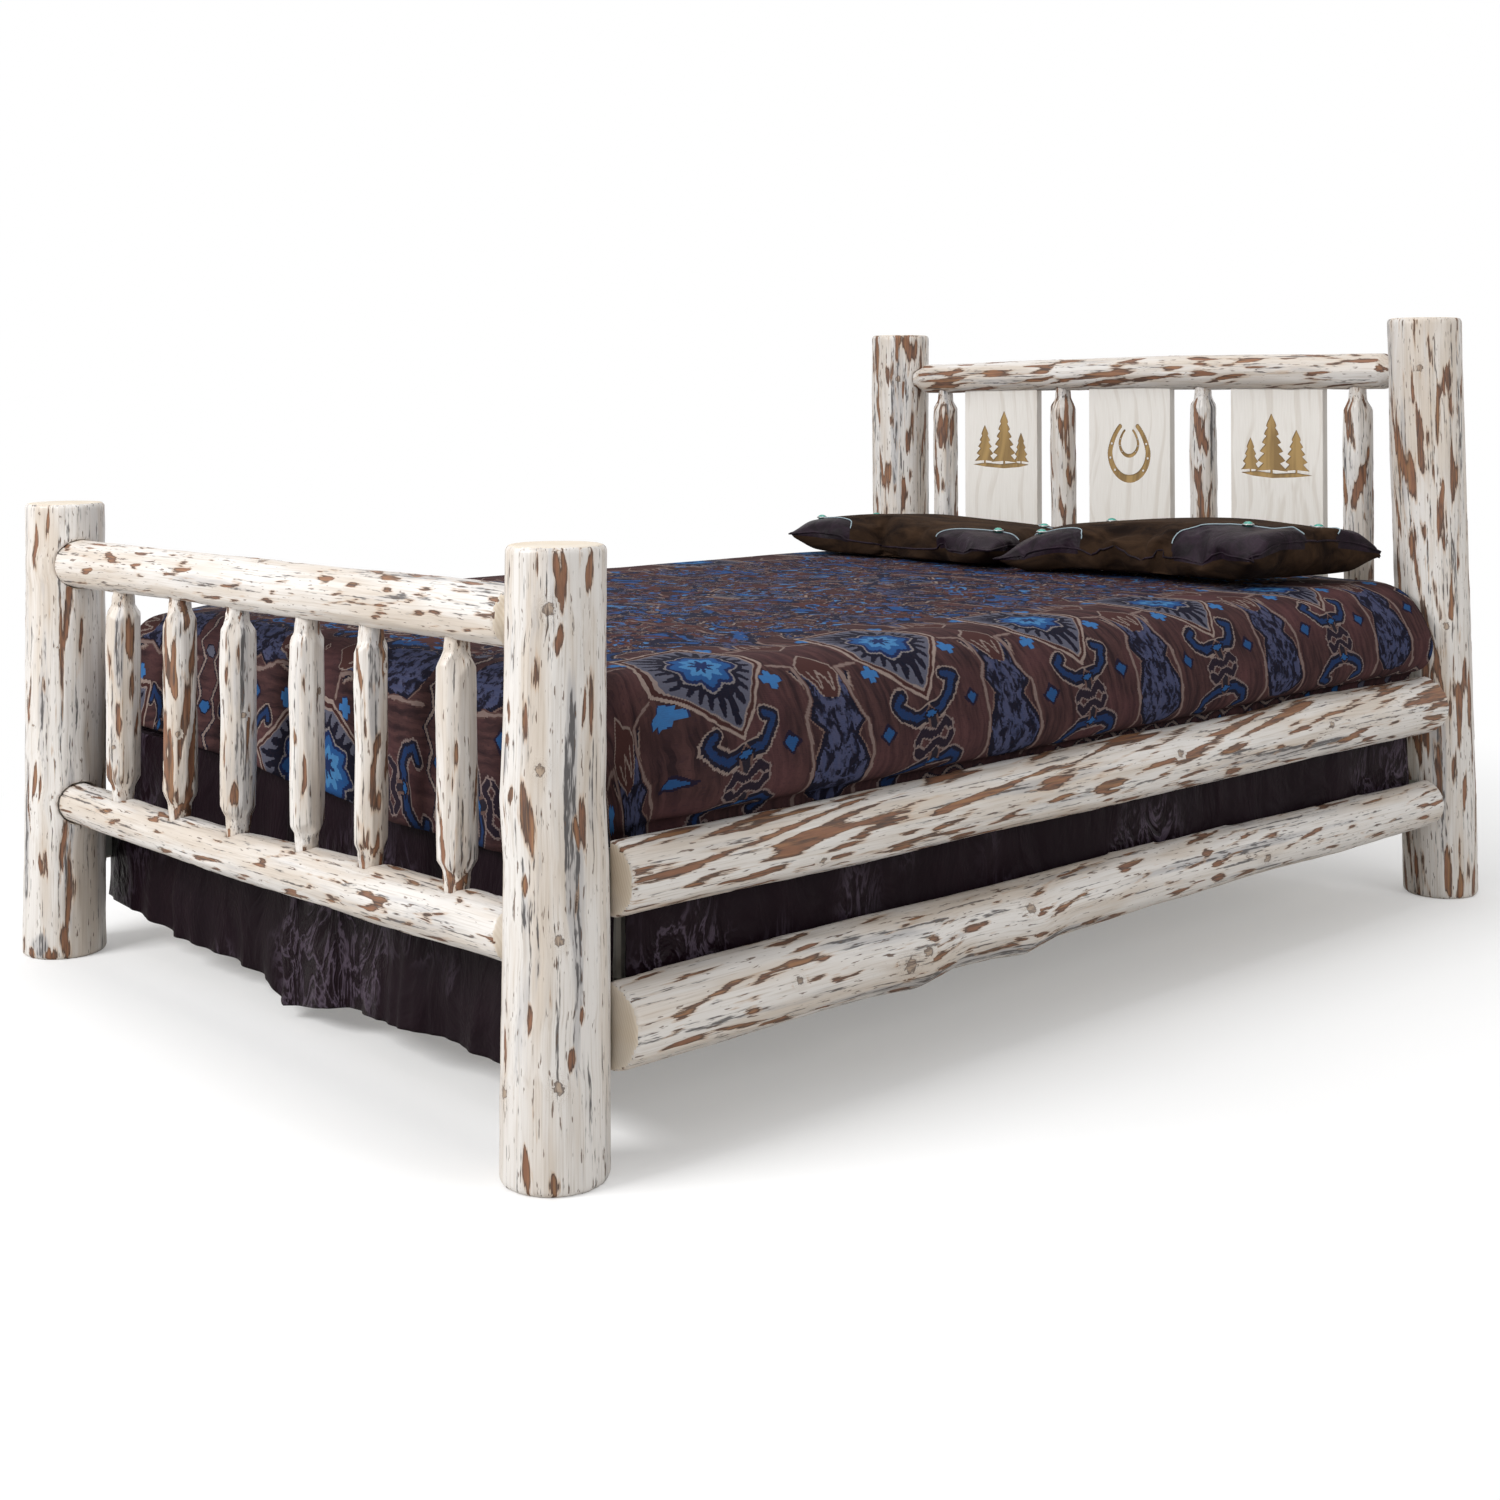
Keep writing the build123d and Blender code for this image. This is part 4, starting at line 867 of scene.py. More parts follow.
CORNER_RADIUS, TAPE_RADIUS, CORNER_STEPS = 0.06, 0.0045, 6
for node, body, rim, fill in (
    ("box_spring", "bed", 0.012, 1.0), ("mattress", "mattress_set", 0.03, 0.9),
):
    low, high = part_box(node)
    stuffed = even_copy(node, node + "_upholstered", 0.016)
    rows, facing = points(stuffed), np.abs(points(stuffed, "normal"))
    tape_sunk = 0
    if node == "mattress":
        # it has settled towards its edges and its foot corners
        tape_sunk = 0.052
        to_edge = np.minimum(MATTRESS_HALF - np.abs(rows[:, X]), rows[:, Y] + MATTRESS_FOOT)
        settled = 0.009 + sunken(rows[:, X], rows[:, Y]) + 0.04 * (
            1 - smoothstep(to_edge, 0.0, 0.1)
        )
        rows[:, Z] -= settled * smoothstep(rows[:, Z], low.z + 0.02, high.z)
        keep_points(stuffed, rows)
    flat_on = facing.argmax(axis=1)
    across = np.where(flat_on == X, rows[:, Y], rows[:, X])
    down = np.where(flat_on == Z, rows[:, Y], rows[:, Z])
    keep_attribute(stuffed, "panel", np.stack([across, down, np.zeros(len(rows))], axis=1))
    stuffed.data.materials.append(ticking)
    stuffed.data.materials.append(edge_tape)
    tapes = []
    bend_radius = CORNER_RADIUS - (rim * 0.3 + 0.002)
    for z in (low.z + rim * 0.3 + 0.003, high.z - rim * 0.3 - 0.003 - tape_sunk):
        path = []
        for k, (sx, sy) in enumerate(((1, 1), (-1, 1), (-1, -1), (1, -1))):
            for step in range(CORNER_STEPS + 1):
                turn = (k + step / CORNER_STEPS) * pi / 2
                path.append((
                    sx * (high.x - CORNER_RADIUS) + bend_radius * cos(turn),
                    (low.y + high.y) / 2 + sy * ((high.y - low.y) / 2 - CORNER_RADIUS)
                    + bend_radius * sin(turn), z,
                ))
        tapes.append(piping("tape", path, TAPE_RADIUS, edge_tape))
    join_to(stuffed, tapes)
    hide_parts(node)
    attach(stuffed, body)


# ---- Bed skirt ----
# Dark aubergine leather cloth on a plain deck that lies between the box spring and the
# mattress. Short panels hang inside the side rails; the foot panel is split off the middle,
# hangs nearly to the floor in soft folds, and has cracked creases, some with painted
# highlights along them in pale grey-mauve.

leather = new_material("aubergine_leather_cloth")
place = add(leather, "TexCoord").outputs["Object"]
crumple = drawn_out(leather, place, (9, 9, 5), 4, 0.55, 0.9)
crinkle = drawn_out(leather, place, (17, 17, 8), 4, 0.6, 1.6)
crinkle = add(leather, "Math", (crinkle, 0.5), operation="SUBTRACT")
crinkle = add(leather, "Math", (crinkle,), operation="ABSOLUTE")
pebble = add(leather, "TexVoronoi", {"Vector": place, "Scale": 520})
# patches where the leather is glossier and more deeply creased; the painted highlights are kept to
# them
handled = add(leather, "TexNoise", {"Vector": place, "Scale": 3.2, "Detail": 2})
handled = add(leather, "MapRange", {
    "Value": handled, "From Min": 0.5, "From Max": 0.64,
}, interpolation_type="SMOOTHSTEP")
# painted highlights: pale grey-mauve lines along the crinkles, inside those patches, stand in for
# the shine of the creases
crease_highlight = add(leather, "MapRange", {
    "Value": crinkle, "From Max": 0.05, "To Min": 1, "To Max": 0,
}, interpolation_type="SMOOTHSTEP")
crease_highlight = add(leather, "Math", (crease_highlight, handled), operation="MULTIPLY")
tone = add(leather, "Mix", {"Factor": crumple, "A": "#0E060B", "B": "#1F1219"}, data_type="RGBA")
tone = wash(leather, tone, "#6D6070", crease_highlight, most=0.42, ease="LINEAR")
gloss = add(leather, "MapRange", {"Value": handled, "To Min": 0.55, "To Max": 0.3})
crease = add(leather, "Math", (crinkle, handled), operation="MULTIPLY")
relief = add(leather, "Math", (crease, -0.9, crumple), operation="MULTIPLY_ADD")
relief = add(leather, "Math", (pebble, 0.01, relief), operation="MULTIPLY_ADD")
finish(leather, tone, gloss, relief, 0.022, 0.8, {"Specular IOR Level": 0.07})


def cloth_sheet(name, across, down, place_of, thickness):
    """A sheet of cloth: place_of gives each grid point's place from two shares from 0 to 1."""
    bpy.ops.object.select_all(action="DESELECT")
    bpy.ops.mesh.primitive_grid_add(x_subdivisions=across, y_subdivisions=down, size=2)
    cloth = bpy.context.object
    cloth.name = name
    rows = points(cloth)
    keep_points(cloth, place_of((rows[:, X] + 1) / 2, (1 - rows[:, Y]) / 2))
    work_in(cloth, "SOLIDIFY", thickness=thickness, offset=-1)
    bpy.ops.object.shade_smooth()
    cloth.data.materials.append(leather)
    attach(cloth, "bed")
    return cloth


def ripple(u, seed, reach):
    """Smooth noise along one line, about -1 to 1, with waves some reach long."""
    return noise_at(u / reach, seed * 5.3, seed * 1.7) * 1.6


DECK_THICK, PANEL_THICK = 0.0012, 0.0016
deck_low, deck_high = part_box("skirt_deck")


def deck_place(u, v):
    """The deck, laid flat with slight waves."""
    z = deck_high.z - 0.0002 - 0.0003 * np.abs(np.sin(u * 23 + v * 9))
    y = deck_high.y + (deck_low.y - deck_high.y) * v
    return np.stack([deck_low.x + (deck_high.x - deck_low.x) * u, y, z], axis=1)


deck = cloth_sheet("skirt_deck_cloth", 60, 80, deck_place, DECK_THICK)
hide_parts("skirt_deck")

for node, side in (("skirt_left", -1), ("skirt_right", 1)):
    low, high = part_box(node)

    def side_place(u, v):
        """A side panel, hung from the deck's edge in small folds."""
        y = low.y + 0.004 + (high.y - low.y - 0.008) * u
        z = high.z - 0.001 + (low.z - high.z) * v
        hang = smoothstep(v, 0, 0.35)
        fold = ripple(y, side + 4, 0.11) + 0.6 * ripple(y, side + 9, 0.043)
        crush = noise_at(y / 0.16, z / 0.05, side)
        out = 0.0035 + hang * (0.0085 + 0.0045 * fold) + 0.004 * crush * smoothstep(v, 0, 0.1)
        x = side * (0.7635 + np.clip(out, 0.0022, 0.0195))
        return np.stack([x, y if side > 0 else low.y + high.y - y, z], axis=1)

    panel = cloth_sheet(node + "_cloth", 220, 26, side_place, PANEL_THICK)
    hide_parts(node)

foot_low, foot_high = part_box("skirt_foot")
# the hem's height along the foot panel
HEM_X = (-0.81, -0.762, -0.518, -0.3, -0.16, -0.1, 0.068, 0.216, 0.355, 0.46, 0.764)
HEM_Z = (0.082, 0.08, 0.065, 0.056, 0.05, 0.024, 0.052, 0.064, 0.071, 0.072, 0.074)


def foot_panel(start, end, seed, flare):
    """Half of the foot panel, hung from the deck's edge between two places along it."""
    def foot_place(u, v):
        x = start + (end - start) * u
        hang = v ** 1.15
        fold = ripple(x, seed, 0.085) + 0.55 * ripple(x, seed + 6, 0.036)
        x = x + flare(u) * hang + 0.006 * hang * ripple(x, seed + 2, 0.06)
        hem = np.interp(x, HEM_X, HEM_Z)
        z = foot_high.z - 0.001 + (hem - foot_high.z) * v
        crush = noise_at(x / 0.12, z / 0.09, seed)
        depth = 0.0045 + hang * (0.013 + 0.013 * fold) + 0.011 * crush * smoothstep(v, 0.1, 0.5)
        reach = 0.017 + 0.022 * smoothstep(v, 0.25, 0.9) * smoothstep(0.70 - np.abs(x), 0, 0.08)
        y = -1.0182 - np.clip(depth, 0.0002, reach)
        return np.stack([x, y, z], axis=1)
    return foot_place


skirt_edge = foot_low.x + 0.001
skirt_split, lap = -0.115, 0.035
left_half = cloth_sheet(
    "skirt_foot_left_half", 130, 60,
    foot_panel(skirt_edge, skirt_split + lap, 3, lambda u: -0.042 * (1 - u) ** 5),
    PANEL_THICK,
)
right_half = cloth_sheet(
    "skirt_foot_right_half", 180, 60,
    foot_panel(skirt_split, -skirt_edge, 8, lambda u: -0.016 * (1 - u) ** 6 - 0.012 * u ** 5),
    PANEL_THICK,
)
# the right half laps over the left one at the split
rows = points(right_half)
rows[:, Y] -= 0.006 * smoothstep(skirt_split + 0.06 - rows[:, X], 0, 0.06)
keep_points(right_half, rows)
for half, length in ((left_half, 0.68), (right_half, 0.88)):
    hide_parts("skirt_foot")


# ---- Bedspread ----
# Woven tapestry cloth in rust, navy, blue and cream, spread over the mattress. Its sides puff
# out over the upper side rails and are tucked in beside the mattress; its foot hangs free.

tapestry = new_material("woven_tapestry_cloth")
laid = add(tapestry, "UVMap", uv_map="cloth").outputs["UV"]
flat = add(tapestry, "SeparateXYZ", (laid,))
# the cloth was pulled askew when it was spread, most at the foot
swing = add(tapestry, "Math", (flat.outputs["X"], 16.362, 13.646), operation="MULTIPLY_ADD")
swing = add(tapestry, "Math", (swing,), operation="SINE")
askew = add(tapestry, "MapRange", {
    "Value": flat.outputs["X"], "From Min": -1.0, "From Max": 0.6, "To Min": 0.017, "To Max": 0,
})
swing = add(tapestry, "Math", (swing, askew), operation="MULTIPLY")
from_middle = add(tapestry, "Math", (flat.outputs["Y"],), operation="ABSOLUTE")
across = add(tapestry, "Math", (from_middle, swing), operation="ADD")
drift = add(tapestry, "Math", (flat.outputs["X"], 0.045, 0.021), operation="MULTIPLY_ADD")
across = add(tapestry, "Math", (across, drift), operation="ADD")
hand = add(tapestry, "TexNoise", {"Vector": laid, "Scale": 26, "Detail": 2}).outputs["Color"]
hand = add(tapestry, "VectorMath", (hand, (0.5, 0.5, 0.5)), operation="SUBTRACT")
pulled = add(tapestry, "CombineXYZ", (flat.outputs["X"], across))
pulled = add(tapestry, "VectorMath", (hand, (0.016, 0.016, 0), pulled), operation="MULTIPLY_ADD")
# knots of 2.4 mm, in a design that mirrors every 192 mm along the bed and 345 mm across it
knots = add(tapestry, "VectorMath", (pulled, (0.0024, 0.0024, 1)), operation="SNAP")
knot = add(tapestry, "SeparateXYZ", (knots,))
along = add(tapestry, "Math", (knot.outputs["X"], 0.834), operation="ADD")
along = add(tapestry, "Math", (along, 0.192), operation="PINGPONG")
across = add(tapestry, "Math", (knot.outputs["Y"], 0.345), operation="PINGPONG")
spot = add(tapestry, "CombineXYZ", (along, across))
# the place across the cloth from the middle of a medallion, not mirrored
past = add(tapestry, "Math", (knot.outputs["Y"], 1.02, 0.33), operation="WRAP")
past = add(tapestry, "Math", (past, 0.7), operation="SUBTRACT")

# madder-brown ground, streaked along the warp where the dye took unevenly
warp = drawn_out(tapestry, knots, (90, 9, 1), 3, 0.6)
cloud = add(tapestry, "TexNoise", {"Vector": laid, "Scale": 7, "Detail": 3})
speck = add(tapestry, "TexNoise", {"Vector": knots, "Scale": 190, "Detail": 1})
mottle = drawn_out(tapestry, knots, (75, 45, 1), 3, 0.65, 0.6)
tone = wash(tapestry, "#342729", "#5D4441", warp, 0.36, 0.66, ease="LINEAR")
tone = wash(tapestry, tone, "#704D4D", cloud, 0.48, 0.68, 0.5, ease="LINEAR")
tone = wash(tapestry, tone, "#2C2230", speck, 0.6, 0.72, 0.4, ease="LINEAR")

# The figures, from the ground up. A shape is a half width at each place across the cloth,
# about an axis along it; a line runs through points (along, across). Metres, first corner.
# The colours start at these depths inside the edge, in millimetres.
CREAM, NAVY, DUSK, BLUE = "#9A8D82", "#171C2C", "#666B78", "#2F68A0"
FIGURES = (
    ("shape", 0.192, ((0.05, -0.01), (0.066, 0.055), (0.085, 0.05), (0.12, 0.038), (0.145, 0.054),
                      (0.168, 0.034), (0.19, 0.046), (0.225, 0.064), (0.262, 0.058),
                      (0.29, 0.03), (0.3, -0.02)),
     ((-3, "#7D695F"), (0, NAVY), (9, "mottled"))),
    ("shape", 0.192, ((0.0, -0.02), (0.05, 0.03), (0.068, 0.034), (0.112, 0.012), (0.118, -0.03)),
     ((-3.5, CREAM), (0, "#523733"))),
    ("line", 0.0018, ((0.191, 0.064), (0.181, 0.1), (0.172, 0.066)), ((0, CREAM),)),
    ("line", 0.0018, ((0.155, 0.066), (0.148, 0.1), (0.139, 0.07)), ((0, CREAM),)),
    ("line", 0.003, ((0.112, 0.05), (0.15, 0.056), (0.151, 0.118), (0.134, 0.15), (0.128, 0.3)),
     ((-2, "#5F4A45"), (0, "#8F7F76"))),
    ("shape", 0.096, ((0.06, -0.02), (0.0641, 0.006), (0.0725, 0.006), (0.0726, 0.017),
                      (0.0865, 0.017), (0.0866, 0.006), (0.095, 0.006), (0.1, -0.02)),
     ((-2, "#2A3358"), (0, "#4484BF"))),
    ("shape", 0.096, ((0.152, -0.012), (0.178, 0.017), (0.204, -0.012)),
     ((-3, "#231F33"), (4, "#2C5E92"))),
    ("line", 0.0112, ((0.0, 0.171), (0.034, 0.169), (0.052, 0.156), (0.066, 0.136),
                      (0.05, 0.128)),
     ((-3.2, CREAM), (0, "#1C1F2E"), (6, "#22406B"))),
    ("line", 0.0112, ((0.0, 0.248), (0.034, 0.25), (0.056, 0.262), (0.064, 0.282),
                      (0.046, 0.29)),
     ((-3.2, "#8D8079"), (0, "#1C1F2E"), (6, "#22406B"))),
    ("line", 0.008, ((0.0, 0.172), (0.0, 0.248)), ((-3, "#6F5B53"), (0, "#2A2A33"))),
    ("line", 0.006, ((0.004, 0.204), (0.024, 0.193), (0.036, 0.204)),
     ((-2.6, "#8D8079"), (0, "#2A2530"))),
    ("line", 0.006, ((0.004, 0.216), (0.024, 0.228), (0.036, 0.216)),
     ((-2.6, "#8D8079"), (0, "#2A2530"))),
    ("shape", 0.0, ((0.156, -0.02), (0.172, 0.021), (0.188, -0.02)), ((0, NAVY), (7, BLUE))),
    ("shape", 0.0, ((0.232, -0.02), (0.248, 0.019), (0.264, -0.02)), ((0, NAVY), (7, BLUE))),
    ("line", 0.0026, ((0.0, 0.33), (0.032, 0.312), (0.064, 0.33), (0.096, 0.312), (0.128, 0.33),
                      (0.16, 0.312), (0.192, 0.33)),
     ((-2.4, NAVY), (0, CREAM))),
    ("shape", 0.048, ((0.318, -0.01), (0.3385, 0.013), (0.36, 0.013)), ((0, NAVY), (4, BLUE))),
    ("shape", 0.144, ((0.318, -0.01), (0.3385, 0.013), (0.36, 0.013)), ((0, NAVY), (4, DUSK))),
    ("shield", 0.0, ((-0.32, 0.03), (-0.1, 0.066), (-0.04, 0.088), (0.035, 0.088), (0.125, 0.0),
                     (0.2, -0.075)),
     ((-19, "#A99B8E"), (-12, "#4A302C"), (-4.5, "#A0948A"), (-1.5, DUSK), (38, NAVY))),
)
for kind, size, places, bands in FIGURES:
    if kind == "line":
        nearest = None
        for (x0, y0), (x1, y1) in zip(places, places[1:]):
            run = Vector((x1 - x0, y1 - y0, 0))
            gone = add(tapestry, "VectorMath", (spot, (x0, y0, 0)), operation="SUBTRACT")
            share = add(tapestry, "VectorMath", (
                gone, tuple(run / run.length_squared),
            ), operation="DOT_PRODUCT").outputs["Value"]
            share = add(tapestry, "Math", (share, 0), use_clamp=True)
            there = add(tapestry, "VectorMath", {
                0: tuple(run), "Scale": share,
            }, operation="SCALE")
            off = add(tapestry, "VectorMath", (gone, there), operation="DISTANCE").outputs["Value"]
            nearest = off if nearest is None else add(
                tapestry, "Math", (nearest, off), operation="MINIMUM"
            )
        depth = add(tapestry, "Math", (size, nearest), operation="SUBTRACT")
    else:
        # the float curve works from 0 to 1, so its places and widths are moved into that
        source, scale, middle = (past, 1.5, 0.5) if kind == "shield" else (across, 2.5, 0.0)
        half = add(tapestry, "FloatCurve", {
            "Value": add(tapestry, "Math", (source, scale, middle), operation="MULTIPLY_ADD"),
        })
        curve = half.mapping.curves[0].points
        for _ in places[2:]:
            curve.new(0.5, 0.5)
        for corner, (at, reach) in zip(curve, places):
            corner.location = (at * scale + middle, (reach + 0.1) * 4)
            corner.handle_type = "VECTOR"
        half.mapping.update()
        away = add(tapestry, "Math", (along, size), operation="SUBTRACT")
        away = add(tapestry, "Math", (away,), operation="ABSOLUTE")
        half = add(tapestry, "Math", (half, 0.25, -0.1), operation="MULTIPLY_ADD")
        depth = add(tapestry, "Math", (half, away), operation="SUBTRACT")
        if kind == "shield":
            blunt = add(tapestry, "Math", (past, 0.112), operation="ADD")
            depth = add(tapestry, "Math", (depth, blunt), operation="MINIMUM")
    for start, colour in bands:
        inside = add(tapestry, "Math", (depth, start / 1000), operation="GREATER_THAN")
        if colour == "mottled":
            patch = add(tapestry, "MapRange", {
                "Value": mottle, "From Min": 0.45, "From Max": 0.53, "To Max": 0.9,
            })
            inside = add(tapestry, "Math", (inside, patch), operation="MULTIPLY")
            colour = add(tapestry, "Mix", {
                "Factor": warp, "A": "#2F4670", "B": "#6B6E85",
            }, data_type="RGBA")
        tone = add(tapestry, "Mix", {"Factor": inside, "A": tone, "B": colour}, data_type="RGBA")

# the medallion's field: navy teeth bite into the grey, round a flower of eight petals
bearing = add(tapestry, "Math", (along, past), operation="ARCTAN2")
tooth = add(tapestry, "Math", (bearing, pi / 26), operation="PINGPONG")
tooth = add(tapestry, "Math", (tooth, 26 / pi), operation="MULTIPLY")
bite = add(tapestry, "MapRange", {
    "Value": depth, "From Min": 0.002, "From Max": 0.03, "To Min": 0.2, "To Max": 0.75,
})
bitten = add(tapestry, "Math", (tooth, bite), operation="LESS_THAN")
in_field = add(tapestry, "Math", (depth, 0.004), operation="GREATER_THAN")
bitten = add(tapestry, "Math", (bitten, in_field), operation="MULTIPLY")
tone = add(tapestry, "Mix", {"Factor": bitten, "A": tone, "B": NAVY}, data_type="RGBA")
from_heart = add(tapestry, "CombineXYZ", (along, past))
from_heart = add(tapestry, "VectorMath", (from_heart,), operation="LENGTH").outputs["Value"]
petal = add(tapestry, "Math", (bearing, pi / 8), operation="PINGPONG")
petal = add(tapestry, "Math", (petal, -0.036, from_heart), operation="MULTIPLY_ADD")
for reach, colour in (
    (0.062, NAVY), (0.053, "#8C8A88"), (0.049, "#1B2F58"), (0.041, "#2A5F98"),
    (0.025, "#4F92C4"), (0.009, "#1F3763"),
):
    inside = add(tapestry, "Math", (petal, reach), operation="LESS_THAN")
    inside = add(tapestry, "Math", (inside, in_field), operation="MULTIPLY")
    tone = add(tapestry, "Mix", {"Factor": inside, "A": tone, "B": colour}, data_type="RGBA")

# the middle of the cloth is worked in small scattered figures
from_rim, from_foot_edge = (
    add(tapestry, "MapRange", {
        "Value": field, "From Min": low, "From Max": high, "To Min": least, "To Max": most,
    }, interpolation_type="SMOOTHSTEP")
    for field, low, high, least, most in (
        (from_middle, 0.52, 0.64, 0, -0.3), (flat.outputs["X"], -1.03, -0.96, -0.3, 0),
    )
)
middle = add(tapestry, "Math", (from_rim, from_foot_edge), operation="ADD")
TOP_FIGURES = (
    ((0.5, "#8A7C72"), (0.508, "#1C2236"), (0.6, "#2C5A92")),
    ((0.56, "#5A3B37"), (0.63, "#3C7AB4"), (0.67, "#20304F")),
    ((0.6, "#9A8D82"), (0.61, "#22293C")),
    ((0.6, "#4E322F"), (0.66, "#4F8FC4")),
)
for k, bands in enumerate(TOP_FIGURES):
    figure = drawn_out(
        tapestry, knots, (9 + 2 * k, 7 + 2 * k, 1), 2.5, 0.55, 1.8, shift=(3 * k, 5 * k, k)
    )
    figure = add(tapestry, "Math", (figure, middle), operation="ADD")
    for start, colour in bands:
        inside = add(tapestry, "Math", (figure, start), operation="GREATER_THAN")
        tone = add(tapestry, "Mix", {"Factor": inside, "A": tone, "B": colour}, data_type="RGBA")

# worn evenly by use, with ribs of weft drawn a little coarser than they are
faded = add(tapestry, "MapRange", {"Value": speck, "To Min": -0.12, "To Max": 0.3})
faded = add(tapestry, "Math", (faded, 0), operation="MAXIMUM")
tone = add(tapestry, "Mix", {"Factor": faded, "A": tone, "B": "#4E3A38"}, data_type="RGBA")
tone = add(tapestry, "Mix", {
    "Factor": 1.0, "A": tone, "B": "#D3CDD3",
}, data_type="RGBA", blend_type="MULTIPLY")
ribs = add(tapestry, "TexWave", {
    "Vector": laid, "Scale": 100, "Distortion": 0.6, "Detail": 1,
}, bands_direction="Y")
slub = drawn_out(tapestry, laid, (160, 700, 1), 2)
relief = add(tapestry, "Math", (ribs, 0.5, slub), operation="MULTIPLY_ADD")
finish(tapestry, tone, 0.9, relief, 0.0006, 0.5, {"Specular IOR Level": 0.06})


def drawn_through(corners, per_leg=10):
    """A smooth line through corners (a Catmull-Rom spline)."""
    corners = np.array([corners[0], *corners, corners[-1]], float)
    line = []
    for a, b, c, d in zip(corners, corners[1:], corners[2:], corners[3:]):
        for t in np.linspace(0, 1, per_leg, endpoint=False):
            line.append(
                b + 0.5 * t * (c - a) + t * t * (a - 2.5 * b + 2 * c - 0.5 * d)
                + t ** 3 * (1.5 * b - 0.5 * a - 1.5 * c + 0.5 * d)
            )
    return np.array(line + [corners[-2]])


TOP_W, TOP_FOOT, HEAD_EDGE = 0.69, -0.965, 1.03
TOP_Z = 0.6485
CORNER = 0.055
MESH_STEP = 0.0118
SPREAD_THICK = 0.0028
columns = int(round(2 * TOP_W / MESH_STEP))
lines = int(round((HEAD_EDGE - TOP_FOOT) / MESH_STEP))
drops = 32
us = np.linspace(-TOP_W, TOP_W, columns + 1)
vs = np.linspace(TOP_FOOT, HEAD_EDGE, lines + 1)

# the top as a grid, with its two foot corners rounded in plan
top_x, top_y = (rows.ravel() for rows in np.meshgrid(us, vs))
corner_x = (np.abs(top_x) - (TOP_W - CORNER)) / CORNER
corner_y = ((TOP_FOOT + CORNER) - top_y) / CORNER
in_corner = (corner_x > 0) & (corner_y > 0)
pull = np.ones(len(top_x))
pull[in_corner] = (
    np.maximum(corner_x, corner_y)[in_corner] / np.hypot(corner_x, corner_y)[in_corner]
)
plan_x = np.where(in_corner, np.sign(top_x) * (TOP_W - CORNER + CORNER * corner_x * pull), top_x)
plan_y = np.where(in_corner, TOP_FOOT + CORNER - CORNER * corner_y * pull, top_y)
top_z = TOP_Z - sunken(plan_x, plan_y) + lifted(plan_x, plan_y, 3)

# the rim runs from the head down the right side, across the foot and up the left side
rim = (
    [(columns, j) for j in range(lines, 0, -1)] + [(i, 0) for i in range(columns, 0, -1)]
    + [(0, j) for j in range(0, lines + 1)]
)
rim_at = np.array([j * (columns + 1) + i for i, j in rim])
rim_x, rim_y, rim_z = plan_x[rim_at], plan_y[rim_at], top_z[rim_at]
ahead_x, ahead_y = np.gradient(rim_x), np.gradient(rim_y)
long = np.hypot(ahead_x, ahead_y)
out_x, out_y = -ahead_y / long, ahead_x / long
if out_x[0] < 0:
    out_x, out_y = -out_x, -out_y
rim_run = np.cumsum(long) - long[0]
on_foot = smoothstep(-out_y, 0.3, 0.97)

# profiles from the rim down: (outwards in metres, share of the fall), before any folds
SIDE_FALL = (
    (0, 0), (0.03, 0.022), (0.06, 0.078), (0.085, 0.175), (0.105, 0.31), (0.119, 0.47),
    (0.127, 0.62), (0.129, 0.75), (0.123, 0.86), (0.111, 0.94), (0.096, 0.985), (0.087, 1.0),
)
FOOT_FALL = (
    (0, 0), (0.026, 0.012), (0.048, 0.05), (0.064, 0.12), (0.073, 0.22), (0.077, 0.4),
    (0.078, 1.0),
)


def even_steps(profile, fall, count):
    """A profile's points spread evenly along it, for a fall in metres."""
    line = drawn_through([(o, h * fall) for o, h in profile], 8)
    run = np.concatenate([[0], np.cumsum(np.hypot(*np.diff(line, axis=0).T))])
    at = np.linspace(0, run[-1], count + 1)
    return np.interp(at, run, line[:, 0]), np.interp(at, run, line[:, 1]) / fall


tucked = 4
side_out, side_fall = even_steps(SIDE_FALL, 0.19, drops - tucked)
foot_out, foot_fall = even_steps(FOOT_FALL, 0.23, drops)

HEM_AT = (-0.762, -0.6, -0.4, -0.1, 0.3, 0.762)
HEM_HIGH = (0.434, 0.432, 0.422, 0.4, 0.378, 0.374)
RAIL_AT = (-1.0, -0.4, 0.1, 0.7, 1.0)
RAIL_TOP = (0.4445, 0.4475, 0.4525, 0.4625, 0.4625)
on_rail = np.interp(rim_y, RAIL_AT, RAIL_TOP) + 0.0035
hem = np.interp(rim_x, HEM_AT, HEM_HIGH) + 0.005 * ripple(rim_x, 21, 0.12)
side_fold = ripple(rim_run, 31, 0.17) + 0.5 * ripple(rim_run, 32, 0.07)
foot_fold = ripple(rim_run, 33, 0.13) + 0.55 * ripple(rim_run, 34, 0.055)
from_foot = smoothstep(TOP_FOOT + 0.17 - rim_y, 0, 0.17) * (1 - on_foot)
bunched = from_foot * (rim_x > 0)
at_head = smoothstep(rim_y, 0.75, 1.0)
stretch = rim_run / 0.09

